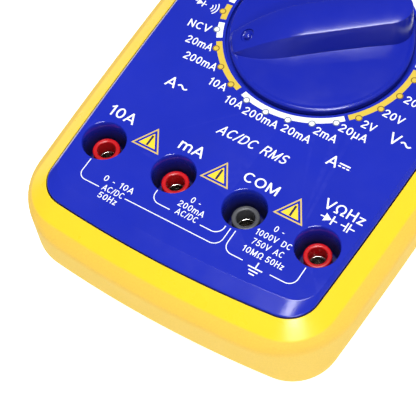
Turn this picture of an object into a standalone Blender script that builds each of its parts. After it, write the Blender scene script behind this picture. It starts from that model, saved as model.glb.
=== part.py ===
# Hand-held digital multimeter in a rubber holster.
#
# Frame: metres, +Z up. The meter lies on its back. The origin is the centre of the plane it
# rests on, +X is to the right of the face, +Y runs from the jacks towards the display, and
# the face looks up. Every length below is in millimetres and becomes metres when a mesh is
# finished. A span is a (low, high) pair along one axis.

import math

import bmesh
import bpy
from mathutils import Matrix, Vector

for old_object in list(bpy.data.objects):
    bpy.data.objects.remove(old_object, do_unlink=True)

PARTS = bpy.data.collections.new("digital_multimeter")
CUTTERS = bpy.data.collections.new("cutters")
bpy.context.scene.collection.children.link(PARTS)
bpy.context.scene.collection.children.link(CUTTERS)

MM = 0.001
GAP = 0.3              # free gap between touching pieces
CUT_LOW = -3.0         # start of cuts that enter from below the meter
CUT_HIGH = 42.0        # end of cuts that leave through the face

# --- case outline ---------------------------------------------------------------------------
FACE_Z = 38.0          # height of the printed face above the resting plane
HALF_WIDTH = 37.37     # blue face, at mid length
HALF_LENGTH = 86.05    # blue face, on the centre line
SIDE_RADIUS = 1470.0   # crown of the long sides
END_RADIUS = 285.7     # crown of the ends
CORNER_RADIUS = 7.4    # blue face corner
SIDE_STEPS = 3         # outline segments in each quarter
CORNER_STEPS = 5
END_STEPS = 3
PARTING = 17.15        # depth of the line between front and rear cover, below the face
PARTING_Z = FACE_Z - PARTING
BACK_Z = 2.3           # rear face of the rear cover

# --- places shared by several pieces ----------------------------------------------------------
BOARD_TOP = 25.6
BOARD_BOTTOM = 24.0
ABOVE_BOARD = BOARD_TOP + GAP       # foot of the parts on the face side of the board
BELOW_BOARD = BOARD_BOTTOM - GAP    # head of the parts on the back side of the board

CASE_SCREWS = ((-24.0, 74.3), (24.0, 74.3), (-19.0, -73.6), (19.0, -73.6))
BOARD_SCREWS = ((-30.0, 17.5), (30.0, 17.5), (0.0, -47.0))
COVER_SCREW = (0.0, 35.6)

JACK_PITCH = 19.0
JACK_Y_OUTER = -66.0
JACK_Y_INNER = -65.63
JACKS = {
    "10a": (-1.5 * JACK_PITCH, JACK_Y_OUTER),
    "ma": (-0.5 * JACK_PITCH, JACK_Y_INNER),
    "com": (0.5 * JACK_PITCH, JACK_Y_INNER),
    "v": (1.5 * JACK_PITCH, JACK_Y_OUTER),
}
CONTACT_RADIUS = 2.45

DIAL_Y = -15.55
DIAL_CENTRE = (0.0, DIAL_Y)
HUB_RADIUS = 3.4

BUTTONS = {"select": -20.0, "hold": 0.0, "light": 20.0}
BUTTON_Y = 26.0
BUTTON_HALF_X = 5.5
BUTTON_HALF_Y = 3.0

DISPLAY_Y = 52.0       # middle of the display
LCD_Y = (35.5, 68.5)
LCD_HALF = 29.0
LENS_HALF = 32.0
LENS_Y = (33.5, 70.5)
LENS_BOTTOM = FACE_Z - 1.4
LENS_CORNER = 2.0


# --- materials --------------------------------------------------------------------------------
def make_material(name, rgb, roughness, metallic=0.0, alpha=1.0):
    made = bpy.data.materials.new(name)
    made.use_nodes = True
    inputs = made.node_tree.nodes["Principled BSDF"].inputs
    inputs["Base Color"].default_value = (*rgb, 1.0)
    inputs["Roughness"].default_value = roughness
    inputs["Metallic"].default_value = metallic
    inputs["Alpha"].default_value = alpha
    made.diffuse_color = (*rgb, alpha)
    return made


YELLOW = make_material("yellow_rubber", rgb=(0.93, 0.68, 0.03), roughness=0.45)
BLUE = make_material("blue_abs", rgb=(0.018, 0.028, 0.52), roughness=0.38)
RED = make_material("red_insulator", rgb=(0.68, 0.018, 0.02), roughness=0.35)
GREY = make_material("grey_insulator", rgb=(0.05, 0.05, 0.055), roughness=0.4)
NICKEL = make_material("nickel", rgb=(0.62, 0.6, 0.55), roughness=0.25, metallic=1.0)
STEEL = make_material("steel", rgb=(0.5, 0.5, 0.5), roughness=0.35, metallic=1.0)
COPPER = make_material("copper_alloy", rgb=(0.7, 0.38, 0.2), roughness=0.35, metallic=1.0)
CLEAR = make_material("clear_lens", rgb=(0.85, 0.9, 0.92), roughness=0.05, alpha=0.35)
LCD = make_material("lcd_glass", rgb=(0.42, 0.48, 0.4), roughness=0.2)
WHITE = make_material("white_acetal", rgb=(0.8, 0.8, 0.78), roughness=0.45)
BLACK = make_material("black_plastic", rgb=(0.02, 0.02, 0.022), roughness=0.5)
BOARD = make_material("board_green", rgb=(0.02, 0.16, 0.06), roughness=0.45)
RUBBER = make_material("conductive_rubber", rgb=(0.06, 0.06, 0.065), roughness=0.8)
GLASS = make_material("fuse_glass", rgb=(0.8, 0.85, 0.85), roughness=0.05, alpha=0.5)
WIRE_RED = make_material("wire_red", rgb=(0.6, 0.02, 0.02), roughness=0.4)
WIRE_BLACK = make_material("wire_black", rgb=(0.02, 0.02, 0.02), roughness=0.4)
CELL = make_material("battery_can", rgb=(0.12, 0.12, 0.13), roughness=0.35, metallic=0.6)
BUTTON = make_material("button_grey", rgb=(0.55, 0.56, 0.6), roughness=0.5)


# --- spans and points -------------------------------------------------------------------------
def around(middle, half):
    """The span reaching half to both sides of the middle."""
    return (middle - half, middle + half)


def grow(span, amount):
    """A span made longer at both ends; a negative amount shortens it."""
    return (span[0] - amount, span[1] + amount)


def polar(centre, radius, angle):
    return (centre[0] + radius * math.cos(angle), centre[1] + radius * math.sin(angle))


# --- solids from boxes and rods ---------------------------------------------------------------
def finish(mesh, name, material, origin=(0.0, 0.0, 0.0), smooth=True):
    """Turn a millimetre bmesh into an object in metres with its origin at the given point.

    Without a material the object is a hidden helper for a boolean.
    """
    origin = Vector(origin)
    for vert in mesh.verts:
        vert.co = (vert.co - origin) * MM
    data = bpy.data.meshes.new(name)
    mesh.to_mesh(data)
    mesh.free()
    if smooth:
        data.shade_smooth()
        data.set_sharp_from_angle(angle=math.radians(35))
    made = bpy.data.objects.new(name, data)
    made.location = origin * MM
    if material is None:
        CUTTERS.objects.link(made)
        made.hide_render = True
        made.display_type = "WIRE"
    else:
        data.materials.append(material)
        PARTS.objects.link(made)
    return made


def box(x, y, z, corner=0.0, segments=3):
    """Shape for solid(): a box from three spans; corner rounds its four upright edges."""
    def add(mesh):
        spans = (x, y, z)
        middle = Matrix.Translation([(low + high) / 2 for low, high in spans])
        size = Matrix.Diagonal([high - low for low, high in spans] + [1.0])
        verts = bmesh.ops.create_cube(mesh, size=1.0, matrix=middle @ size)["verts"]
        if corner > 0:
            upright = {edge for vert in verts for edge in vert.link_edges
                       if abs(edge.verts[0].co.z - edge.verts[1].co.z) > 1e-6}
            bmesh.ops.bevel(mesh, geom=list(upright), offset=corner, segments=segments,
                            affect="EDGES", profile=0.5)
    return add


def rod(centre, radius, span, segments, axis="Z"):
    """Shape for solid(): an upright rod at (x, y), or one along X at (y, z)."""
    def add(mesh):
        if axis == "X":
            place = Matrix.Translation((0, *centre)) @ Matrix.Rotation(math.radians(90), 4, "Y")
        else:
            place = Matrix.Translation((*centre, 0))
        shift = Matrix.Translation((0, 0, (span[0] + span[1]) / 2))
        bmesh.ops.create_cone(mesh, cap_ends=True, segments=segments, radius1=radius,
                              radius2=radius, depth=span[1] - span[0], matrix=place @ shift)
    return add


def rods(centres, radius, span, segments):
    return [rod(centre, radius, span, segments) for centre in centres]


def solid(name, material, *shapes, origin=(0, 0, 0)):
    mesh = bmesh.new()
    for add_shape in shapes:
        add_shape(mesh)
    return finish(mesh, name, material, origin)


def helper(name, *shapes):
    return solid(name, None, *shapes)


def boolean(piece, operation, tools):
    for tool in tools:
        modifier = piece.modifiers.new(operation.lower(), "BOOLEAN")
        modifier.operation = operation
        modifier.object = tool
        modifier.solver = "EXACT"


def join(piece, *tools):
    boolean(piece, "UNION", tools)


def cut(piece, *tools):
    boolean(piece, "DIFFERENCE", tools)


# --- turned, bent and wire pieces -------------------------------------------------------------
def turned(name, material, profile, centre, steps, origin_z, closed=False):
    """A turned piece: (radius, height) profile points are spun about the centre."""
    mesh = bmesh.new()
    verts = [mesh.verts.new((radius, 0.0, z - origin_z)) for radius, z in profile]
    for start, end in zip(verts, verts[1:]):
        mesh.edges.new((start, end))
    if closed:
        mesh.edges.new((verts[-1], verts[0]))
    for vert in verts:
        vert.co *= MM
    data = bpy.data.meshes.new(name)
    mesh.to_mesh(data)
    mesh.free()
    data.materials.append(material)
    made = bpy.data.objects.new(name, data)
    made.location = Vector((*centre, origin_z)) * MM
    PARTS.objects.link(made)
    screw = made.modifiers.new("turn", "SCREW")
    screw.axis = "Z"
    screw.steps = steps
    screw.render_steps = steps
    screw.use_merge_vertices = True
    screw.merge_threshold = 0.00001
    screw.use_smooth_shade = True
    return made


def sheet(name, path, width, thickness, centre, turn, origin):
    """Bent copper sheet: an XZ path widened along Y, turned about Z and moved to (x, y)."""
    place = Matrix.Translation((*centre, 0.0)) @ Matrix.Rotation(turn, 4, "Z")
    mesh = bmesh.new()
    near, far = [[mesh.verts.new(place @ Vector((x, y, z))) for x, z in path]
                 for y in around(0.0, width / 2)]
    for i in range(len(path) - 1):
        mesh.faces.new((near[i], near[i + 1], far[i + 1], far[i]))
    made = finish(mesh, name, COPPER, origin, smooth=False)
    solidify = made.modifiers.new("thickness", "SOLIDIFY")
    solidify.thickness = thickness * MM
    solidify.offset = 0.0
    solidify.use_even_offset = True


def wire(name, material, points, radius, origin):
    """Round wire along a list of points."""
    curve = bpy.data.curves.new(name, "CURVE")
    curve.dimensions = "3D"
    curve.bevel_depth = radius * MM
    curve.bevel_resolution = 2
    curve.use_fill_caps = True
    spline = curve.splines.new("POLY")
    spline.points.add(len(points) - 1)
    origin = Vector(origin)
    for spline_point, point in zip(spline.points, points):
        spline_point.co = (*((Vector(point) - origin) * MM), 1.0)
    curve.materials.append(material)
    made = bpy.data.objects.new(name, curve)
    made.location = origin * MM
    PARTS.objects.link(made)


# --- pieces skinned over rings ----------------------------------------------------------------
def crossing(side_centre, side_radius, end_centre, end_radius):
    """Upper right crossing of two circles."""
    start, end = Vector(side_centre), Vector(end_centre)
    distance = (end - start).length
    reach = (side_radius ** 2 - end_radius ** 2 + distance ** 2) / (2 * distance)
    height = math.sqrt(side_radius ** 2 - reach ** 2)
    direction = (end - start) / distance
    normal = Vector((-direction.y, direction.x))
    return start + direction * reach + normal * height


def case_ring(side, drop, corner=None, end=None):
    """Closed case outline at a depth below the face, moved out by side and end."""
    end = side if end is None else end
    corner = CORNER_RADIUS + side if corner is None else corner
    side_radius, end_radius = SIDE_RADIUS + side, END_RADIUS + end
    side_centre = (HALF_WIDTH - SIDE_RADIUS, 0.0)
    end_centre = (0.0, HALF_LENGTH - END_RADIUS)
    fillet = crossing(side_centre, side_radius - corner, end_centre, end_radius - corner)
    side_angle = math.atan2(fillet.y, fillet.x - side_centre[0])
    end_angle = math.atan2(fillet.y - end_centre[1], fillet.x)
    arcs = ((side_centre, side_radius, 0.0, side_angle, SIDE_STEPS),
            (fillet, corner, side_angle, end_angle, CORNER_STEPS),
            (end_centre, end_radius, end_angle, math.pi / 2, END_STEPS))
    quarter = [polar(centre, radius, start + (stop - start) * i / steps)
               for centre, radius, start, stop, steps in arcs for i in range(steps)]
    quarter.append((0.0, HALF_LENGTH + end))
    upper = quarter + [(-x, y) for x, y in reversed(quarter[:-1])]
    lower = [(x, -y) for x, y in reversed(upper[1:-1])]
    return [Vector((x, y, FACE_Z - drop)) for x, y in upper + lower]


def add_rows(mesh, rings):
    return [[mesh.verts.new(point) for point in ring] for ring in rings]


def skin(mesh, rows, reverse=False):
    """Quads between neighbouring rows; reversed ones split along the other diagonal."""
    count = len(rows[0])
    for lower, upper in zip(rows, rows[1:]):
        for i in range(count):
            j = (i + 1) % count
            corners = (lower[i], lower[j], upper[j], upper[i])
            mesh.faces.new(corners[::-1] if reverse else corners)


def hoop(name, material, rings, origin=(0, 0, 0)):
    """A section carried round: the last ring joins the first."""
    mesh = bmesh.new()
    rows = add_rows(mesh, rings)
    skin(mesh, rows + rows[:1])
    bmesh.ops.recalc_face_normals(mesh, faces=mesh.faces)
    finish(mesh, name, material, origin)


def shell(name, outer_levels, inner_levels, reverse_inner):
    """A tray with an open rim at its first levels and a floor at its last."""
    mesh = bmesh.new()
    outer = add_rows(mesh, [case_ring(*level) for level in outer_levels])
    inner = add_rows(mesh, [case_ring(*level) for level in inner_levels])
    skin(mesh, outer)
    skin(mesh, inner, reverse_inner)
    skin(mesh, [inner[0], outer[0]], reverse=True)
    mesh.faces.new(outer[-1])
    mesh.faces.new(inner[-1][::-1])
    bmesh.ops.recalc_face_normals(mesh, faces=mesh.faces)
    return finish(mesh, name, BLUE)


# --- holster ----------------------------------------------------------------------------------
# (offset from the face outline, drop below the face, corner radius), down the outside from
# the upper lip and back up the inside
HOLSTER_SECTION = (
    (GAP, 1.3, 7.7), (4.3, 4.65, 11.9), (5.9, 6.2, 15.5), (6.9, 7.6, 18.5),
    (6.9, 9.4, 18.6), (5.0, 22.0, 11.6), (3.9, 24.5, 11.0), (-0.6, 33.6, 7.4),
    (-2.5, 36.5, 5.6), (-5.0, 38.0, 4.0), (-9.0, 38.0, 3.0), (-9.0, 36.0, 3.0),
    (-5.0, 36.0, 4.0), (-2.3, 33.2, 5.6), (2.4, 23.6, 10.0), (3.1, 21.6, 10.6),
    (4.75, 9.6, 16.6), (3.3, 6.9, 12.4), (GAP, 4.1, 7.7),
)


def build_holster():
    hoop("holster", YELLOW, [case_ring(*level) for level in HOLSTER_SECTION])


# --- front cover ------------------------------------------------------------------------------
PLATE = 2.4            # front plate thickness
FACE_BEVEL = 1.15      # drop of the face edge
END_BEVEL = 4.0        # length of the sloping land at both ends of the face
SIDE_BEVEL = 0.9
WELL_RADIUS = 5.0
WELL_WALL = 1.6
FRONT_RIM = PARTING - GAP / 2
BOSS_TOP = FACE_Z - PLATE / 2       # bosses end inside the front plate

# (side offset, drop below the face, corner radius, end offset), from the rim to the face;
# a missing end offset equals the side offset, a missing radius follows it
FRONT_OUTER = (
    (3.4, FRONT_RIM, 13.3), (4.3, 9.9, 16.2), (3.0, 7.2, 12.2), (0.0, 4.4),
    (0.0, FACE_BEVEL), (-SIDE_BEVEL, 0.0, 6.2, -END_BEVEL),
)
FRONT_INNER = (
    (1.5, FRONT_RIM, 11.3), (2.3, 10.9, 14.2), (1.6, 8.9, 11.0), (-2.2, 5.2),
    (-2.2, 3.9), (-3.2, PLATE, 4.0, -6.1),
)


def build_front_cover():
    front = shell("front_cover", FRONT_OUTER, FRONT_INNER, reverse_inner=True)
    wells = JACKS.values()
    well_outside = WELL_RADIUS + WELL_WALL
    join(front, helper(
        "front_bosses",
        *rods(wells, well_outside, (BOARD_TOP + 0.4, BOSS_TOP), 20),
        *rods(CASE_SCREWS, 3.2, (PARTING_Z + GAP, BOSS_TOP), 12),
        *rods(BOARD_SCREWS, 2.6, (ABOVE_BOARD, BOSS_TOP), 10)))
    button_holes = [box(around(x, BUTTON_HALF_X + GAP), around(BUTTON_Y, BUTTON_HALF_Y + GAP),
                        (30.0, CUT_HIGH), 2.5) for x in BUTTONS.values()]
    lens_recess = box(around(0.0, LENS_HALF + GAP), grow(LENS_Y, GAP),
                      (LENS_BOTTOM - GAP, CUT_HIGH), LENS_CORNER + GAP)
    cut(front, helper(
        "front_holes",
        *rods(wells, WELL_RADIUS, (20.0, CUT_HIGH), 20),
        rod(DIAL_CENTRE, HUB_RADIUS + 0.5, (30.0, CUT_HIGH), 20),
        *rods(CASE_SCREWS, 1.6, (15.0, 33.0), 8),
        *rods(BOARD_SCREWS, 1.4, (20.0, 33.5), 8),
        *button_holes, lens_recess))
    opening = box(around(0.0, 27.5), grow(LCD_Y, -2), (30.0, 40.0), 1.0)
    cut(front, helper("front_opening", opening))


# --- rear cover -------------------------------------------------------------------------------
REAR_RIM = PARTING + GAP / 2
# (side offset, drop below the face, corner radius), from the rim to the back
REAR_OUTER = (
    (3.35, REAR_RIM, 13.2), (2.75, 21.6, 10.2), (2.05, 23.5, 9.6), (-2.75, 33.0, 5.2),
    (-5.2, 35.2, 3.8), (-5.9, FACE_Z - BACK_Z, 3.4),
)
REAR_INNER = (
    (1.4, REAR_RIM, 11.2), (0.85, 21.2, 8.4), (0.1, 23.0, 7.8), (-4.6, 32.2, 3.4),
    (-6.7, 33.5, 2.5),
)

STAND_HALF = 25.0
STAND_Y = 28.0         # hinge line
STAND_Z = 4.2
STAND_LENGTH = 72.0
STAND_TIP = STAND_Y - STAND_LENGTH
STAND_HINGE = (STAND_Y, STAND_Z)
STAND_PIN_REACH = 1.2  # pins beyond the sides of the stand
STAND_ROOF = 6.2       # top of the stand pocket and floor of the battery bay

BAY_HALF = 27.5        # inside of the battery bay
BAY_Y = (40.1, 69.1)
BAY_TOP = 22.7
BAY_WALL = 1.5

COVER_HALF = 26.0      # battery cover
COVER_Y = (32.9, 69.8)
COVER_TOP = 4.3


def build_rear_cover():
    rear = shell("rear_cover", REAR_OUTER, REAR_INNER, reverse_inner=False)
    join(rear,
         helper("rear_stand_box", box(around(0.0, 27.6), (STAND_TIP - 3.0, STAND_Y + 4.8),
                                      (BACK_Z + 0.4, STAND_ROOF + 2.0), 2.0)),
         helper("rear_battery_box", box(around(0.0, BAY_HALF + BAY_WALL), grow(BAY_Y, BAY_WALL),
                                        (BACK_Z + 0.5, BAY_TOP + 0.8))),
         helper("rear_battery_ledge", box(around(0.0, 28.3), (31.0, 39.5),
                                          (BACK_Z + 0.45, 6.8))),
         helper("rear_bosses",
                *rods(CASE_SCREWS, 3.6, (BACK_Z + 0.6, PARTING_Z - GAP), 12),
                rod(COVER_SCREW, 2.7, (BACK_Z + 0.7, 13.0), 12)))
    pin_half = STAND_HALF + STAND_PIN_REACH + GAP
    cover_recess = box(around(0.0, COVER_HALF + GAP), grow(COVER_Y, GAP),
                       (CUT_LOW, COVER_TOP + GAP), 1.5)
    wire_slot = box((26.0, 31.0), (50.0, 60.0), (17.0, 21.0))
    cut(rear,
        helper("rear_pockets",
               box(around(0.0, STAND_HALF + 0.5), (STAND_TIP - 0.7, STAND_Y + 2.6),
                   (CUT_LOW, STAND_ROOF), 1.6),
               box(around(0.0, BAY_HALF), BAY_Y, (STAND_ROOF, BAY_TOP))),
        helper("rear_pin_holes",
               rod(STAND_HINGE, 1.75, around(0.0, pin_half), 14, axis="X"),
               *rods(CASE_SCREWS, 2.75, (CUT_LOW, 8.0), 12),
               rod(COVER_SCREW, 1.4, (3.5, 12.0), 8)),
        helper("rear_screw_holes", *rods(CASE_SCREWS, 1.6, (7.0, 25.0), 8), cover_recess),
        helper("rear_cell_mouth", box(around(0.0, 25.0), BAY_Y, (0.0, 8.0)), wire_slot))


# --- battery and its cover --------------------------------------------------------------------
COVER_GROOVES = 4
GROOVE_PITCH = 1.6
GROOVE_WIDTH = 0.8
BATTERY_Y = 54.6
BATTERY_Z = 13.6
# (y, radius, segments) of the two studs at the right end of the battery
BATTERY_STUDS = ((48.2, 2.8, 16), (60.9, 3.9, 8))
SNAP_X = (22.2, 27.2)
WIRE_RADIUS = 0.65
# (name, material, y at the snap, sideways run to the board)
BATTERY_WIRES = (
    ("battery_wire_red", WIRE_RED, 53.2, -2.0),
    ("battery_wire_black", WIRE_BLACK, 56.6, 2.0),
)
# (radius, height)
COVER_SCREW_PROFILE = (
    (0.0, 11.0), (1.1, 10.5), (1.1, 3.2), (2.2, 3.2), (2.2, 2.6), (1.9, 2.4), (0.0, 2.4),
)


def build_battery_cover():
    cover = solid("battery_cover", BLUE,
                  box(around(0.0, COVER_HALF), COVER_Y, (BACK_Z, COVER_TOP), 1.3),
                  origin=(0, 51.3, BACK_Z))
    groove_starts = [61.0 + GROOVE_PITCH * i for i in range(COVER_GROOVES)]
    grooves = [box(around(0.0, 8.0), (y, y + GROOVE_WIDTH), (0.0, BACK_Z + 0.5))
               for y in groove_starts]
    cut(cover,
        helper("battery_cover_sink", rod(COVER_SCREW, 2.5, (0.0, 3.5), 20)),
        helper("battery_cover_hole", rod(COVER_SCREW, 1.4, (0.5, 6.0), 12), *grooves))
    turned("battery_cover_screw", STEEL, COVER_SCREW_PROFILE, COVER_SCREW, 8, BACK_Z)


def build_battery():
    cell = solid("battery", CELL, box((-24.6, 21.7), (41.4, 67.8), (4.9, 22.3)),
                 origin=(0, BATTERY_Y, BATTERY_Z))
    bevel = cell.modifiers.new("round", "BEVEL")
    bevel.width = 1.6 * MM
    bevel.segments = 2
    join(cell, helper("battery_studs", *[
        rod((y, BATTERY_Z), radius, (21.2, 23.8), segments, axis="X")
        for y, radius, segments in BATTERY_STUDS]))


def build_battery_snap():
    snap = solid("battery_snap", BLACK, box(SNAP_X, (41.6, 67.5), (8.0, 19.2)),
                 origin=(sum(SNAP_X) / 2, BATTERY_Y, BATTERY_Z))
    cut(snap, helper("battery_snap_wells", *[
        rod((y, BATTERY_Z), radius + 0.4, (20.0, 24.2), 16, axis="X")
        for y, radius, _ in BATTERY_STUDS]))


def build_battery_wires():
    """Each wire runs out to the right, then bends up to the back of the board."""
    bend_x, run_z, bend_radius, bend_steps = 30.2, 18.8, 1.6, 6
    for name, material, y, sideways in BATTERY_WIRES:
        start = (SNAP_X[1] + WIRE_RADIUS, y, 18.3)
        points = [start, (28.6, y, 18.6), (bend_x, y, run_z)]
        for i in range(1, bend_steps + 1):
            angle = math.radians(90) * i / bend_steps
            points.append((bend_x + bend_radius * math.sin(angle),
                           y + sideways * i / bend_steps,
                           run_z + bend_radius - bend_radius * math.cos(angle)))
        points.append((bend_x + bend_radius, y + sideways, BELOW_BOARD))
        wire(name, material, points, WIRE_RADIUS, start)


# --- stand ------------------------------------------------------------------------------------
def build_stand():
    stand = solid("tilt_stand", YELLOW,
                  box(around(0.0, STAND_HALF), (STAND_TIP, STAND_Y + 0.2), (2.5, 5.0), 1.5),
                  origin=(0.0, STAND_Y, STAND_Z))
    pin_half = STAND_HALF + STAND_PIN_REACH
    join(stand,
         helper("stand_barrel", rod(STAND_HINGE, 1.7, around(0.0, STAND_HALF), 16, axis="X")),
         helper("stand_pins", rod(STAND_HINGE, 1.4, around(0.0, pin_half), 12, axis="X")))
    underside_recess = box(around(0.0, 17.0), (-32.0, 14.0), (-2.0, 3.4), 3.0)
    tip_notch = box(around(0.0, 9.0), (STAND_TIP - 6.0, STAND_TIP + 3.5), (-2.0, 9.0), 2.5)
    cut(stand, helper("stand_relief", underside_recess, tip_notch))


# --- case and board screws --------------------------------------------------------------------
# (radius, height), from the tip down to the head
CASE_SCREW_PROFILE = (
    (0.0, 31.0), (1.3, 30.2), (1.3, 8.0), (2.4, 7.7), (2.4, 6.3), (2.0, 6.0), (0.0, 6.0),
)
BOARD_SCREW_PROFILE = (
    (0.0, 32.5), (1.1, 31.8), (1.1, BELOW_BOARD), (2.2, BELOW_BOARD), (2.2, 22.6),
    (1.7, 22.2), (0.0, 22.2),
)


def build_screws():
    for i, centre in enumerate(CASE_SCREWS, 1):
        turned(f"case_screw_{i}", STEEL, CASE_SCREW_PROFILE, centre, 8, 8.0)
    for i, centre in enumerate(BOARD_SCREWS, 1):
        turned(f"board_screw_{i}", STEEL, BOARD_SCREW_PROFILE, centre, 8, BOARD_BOTTOM)


# --- board and its small parts ----------------------------------------------------------------
# (radius, height)
BUZZER_PROFILE = (
    (0.0, BELOW_BOARD), (6.0, BELOW_BOARD), (6.0, 17.0), (1.4, 17.0), (1.4, 18.0), (0.0, 18.0),
)
ANTENNA_Y = 77.2
# (x, z) before turning
ANTENNA_PATH = ((0.0, ABOVE_BOARD), (0.0, 31.5), (1.2, 33.0))


def build_board():
    board = solid("main_board", BOARD,
                  box(around(0.0, 33.6), (-82.0, 78.8), (BOARD_BOTTOM, BOARD_TOP), 5.0),
                  origin=(0, 0, BOARD_BOTTOM))
    through = (20.0, 30.0)
    cut(board, helper("board_holes",
                      *rods(CASE_SCREWS, 4.0, through, 12),
                      *rods(BOARD_SCREWS, 1.5, through, 8),
                      *rods(JACKS.values(), CONTACT_RADIUS + 0.35, through, 14)))


def build_board_parts():
    solid("meter_ic", BLACK, box((-9.0, 5.0), (8.0, 22.0), (21.6, BELOW_BOARD)),
          origin=(-2, 15, BOARD_BOTTOM))
    solid("crystal", STEEL, box((11.0, 22.0), (14.0, 18.5), (20.3, BELOW_BOARD), 2.0, 4),
          origin=(16.5, 16.2, BOARD_BOTTOM))
    turned("buzzer", BLACK, BUZZER_PROFILE, (-22.0, 4.0), 16, BOARD_BOTTOM)
    sheet("ncv_antenna", ANTENNA_PATH, width=14.0, thickness=0.3, centre=(0.0, ANTENNA_Y),
          turn=math.radians(90), origin=(0, ANTENNA_Y, BOARD_TOP))


# --- display stack ----------------------------------------------------------------------------
LCD_BOTTOM = 33.0
LCD_SEAT = LCD_BOTTOM - GAP
HOLDER_RIM = 1.9       # holder beyond the glass
BACKLIGHT_HALF = 26.0
BACKLIGHT_BOTTOM = 30.6
BACKLIGHT_INSET = 4.6  # from the ends of the glass
BACKLIGHT_FREE = 0.4
ZEBRA_HALF = 27.0
ZEBRA_INSET = 1.8      # middle of a strip from the end of the glass
ZEBRA_HALF_WIDTH = 0.9
ZEBRA_MIDDLES = (LCD_Y[0] + ZEBRA_INSET, LCD_Y[1] - ZEBRA_INSET)


def build_display():
    solid("lcd_window", CLEAR,
          box(around(0.0, LENS_HALF), LENS_Y, (LENS_BOTTOM, FACE_Z - 0.1), LENS_CORNER, 4),
          origin=(0, DISPLAY_Y, FACE_Z))
    solid("lcd_panel", LCD, box(around(0.0, LCD_HALF), LCD_Y, (LCD_BOTTOM, 34.9)),
          origin=(0, DISPLAY_Y, LCD_BOTTOM))
    solid("backlight_panel", WHITE,
          box(around(0.0, BACKLIGHT_HALF), grow(LCD_Y, -BACKLIGHT_INSET),
              (BACKLIGHT_BOTTOM, 32.6)),
          origin=(0, DISPLAY_Y, BACKLIGHT_BOTTOM))
    for i, y in enumerate(ZEBRA_MIDDLES, 1):
        solid(f"zebra_strip_{i}", RUBBER,
              box(around(0.0, ZEBRA_HALF), around(y, ZEBRA_HALF_WIDTH),
                  (ABOVE_BOARD, LCD_SEAT)),
              origin=(0, y, BOARD_TOP))


def build_display_holder():
    holder = solid("lcd_holder", WHITE,
                   box(around(0.0, LCD_HALF + HOLDER_RIM), grow(LCD_Y, HOLDER_RIM),
                       (ABOVE_BOARD, 35.2)),
                   origin=(0, DISPLAY_Y, BOARD_TOP))
    seat = box(around(0.0, LCD_HALF + GAP), grow(LCD_Y, GAP), (LCD_SEAT, 40.0))
    through = (20.0, 36.0)
    backlight_slot = box(around(0.0, BACKLIGHT_HALF + BACKLIGHT_FREE),
                         grow(LCD_Y, BACKLIGHT_FREE - BACKLIGHT_INSET), through)
    zebra_slots = [box(around(0.0, ZEBRA_HALF + 0.4), around(y, ZEBRA_HALF_WIDTH + GAP), through)
                   for y in ZEBRA_MIDDLES]
    cut(holder, helper("holder_seat", seat),
        helper("holder_slots", backlight_slot, *zebra_slots))


# --- buttons ----------------------------------------------------------------------------------
BUTTON_RISE = 1.6      # cap above the face
BUTTON_FLANGE = 1.1    # flange beyond the cap
SWITCH_HALF = 3.0


def build_button(label, x):
    """A cap with a flange and a stem, over its switch on the board."""
    centre = (x, BUTTON_Y)
    cap = solid("button_" + label, BUTTON,
                box(around(x, BUTTON_HALF_X), around(BUTTON_Y, BUTTON_HALF_Y),
                    (34.6, FACE_Z + BUTTON_RISE), 2.3, 4),
                origin=(*centre, FACE_Z))
    flange = box(around(x, BUTTON_HALF_X + BUTTON_FLANGE),
                 around(BUTTON_Y, BUTTON_HALF_Y + BUTTON_FLANGE), (34.2, 35.2), 1.5, 2)
    join(cap, helper("button_flange_" + label, flange),
         helper("button_stem_" + label, rod(centre, 1.5, (31.5, 34.8), 14)))
    switch = solid("button_switch_" + label, BLACK,
                   box(around(x, SWITCH_HALF), around(BUTTON_Y, SWITCH_HALF),
                       (ABOVE_BOARD, 29.4)),
                   origin=(*centre, BOARD_TOP))
    join(switch, helper("switch_plunger_" + label, rod(centre, 1.7, (29.0, 30.5), 14)))


# --- jacks ------------------------------------------------------------------------------------
SLEEVE_TOP = FACE_Z - 3.8
SLEEVE_LIP = SLEEVE_TOP - 1.0       # underside of the lip over the contact
SLEEVE_RADIUS = 3.25
SLEEVE_BORE = 2.1
SLEEVE_FLANGE = (4.7, 28.0)         # radius and top of the foot flange
SLEEVE_INSIDE = CONTACT_RADIUS + GAP
CONTACT_BORE = 2.0                  # takes a 4 mm plug
CONTACT_TOP = SLEEVE_LIP - GAP
COLLAR_RADIUS = 3.3
COLLAR_BOTTOM = BELOW_BOARD - 1.0
# (radius, height)
SLEEVE_PROFILE = (
    (SLEEVE_RADIUS - 0.35, SLEEVE_TOP), (SLEEVE_RADIUS, SLEEVE_TOP - 0.35),
    (SLEEVE_RADIUS, SLEEVE_FLANGE[1]), SLEEVE_FLANGE,
    (SLEEVE_FLANGE[0], ABOVE_BOARD), (SLEEVE_INSIDE, ABOVE_BOARD),
    (SLEEVE_INSIDE, SLEEVE_LIP), (SLEEVE_BORE, SLEEVE_LIP),
    (SLEEVE_BORE, SLEEVE_TOP - 0.2), (SLEEVE_BORE + 0.2, SLEEVE_TOP),
)
CONTACT_PROFILE = (
    (0.0, 13.0), (CONTACT_BORE, 13.0), (CONTACT_BORE, CONTACT_TOP),
    (CONTACT_RADIUS, CONTACT_TOP), (CONTACT_RADIUS, BELOW_BOARD),
    (COLLAR_RADIUS, BELOW_BOARD), (COLLAR_RADIUS, COLLAR_BOTTOM),
    (CONTACT_RADIUS, COLLAR_BOTTOM), (CONTACT_RADIUS, 12.0), (0.0, 12.0),
)


def build_jack(label, centre):
    turned("jack_sleeve_" + label, GREY if label == "com" else RED, SLEEVE_PROFILE, centre,
           16, SLEEVE_TOP, closed=True)
    turned("jack_contact_" + label, NICKEL, CONTACT_PROFILE, centre, 14, SLEEVE_TOP)


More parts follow.
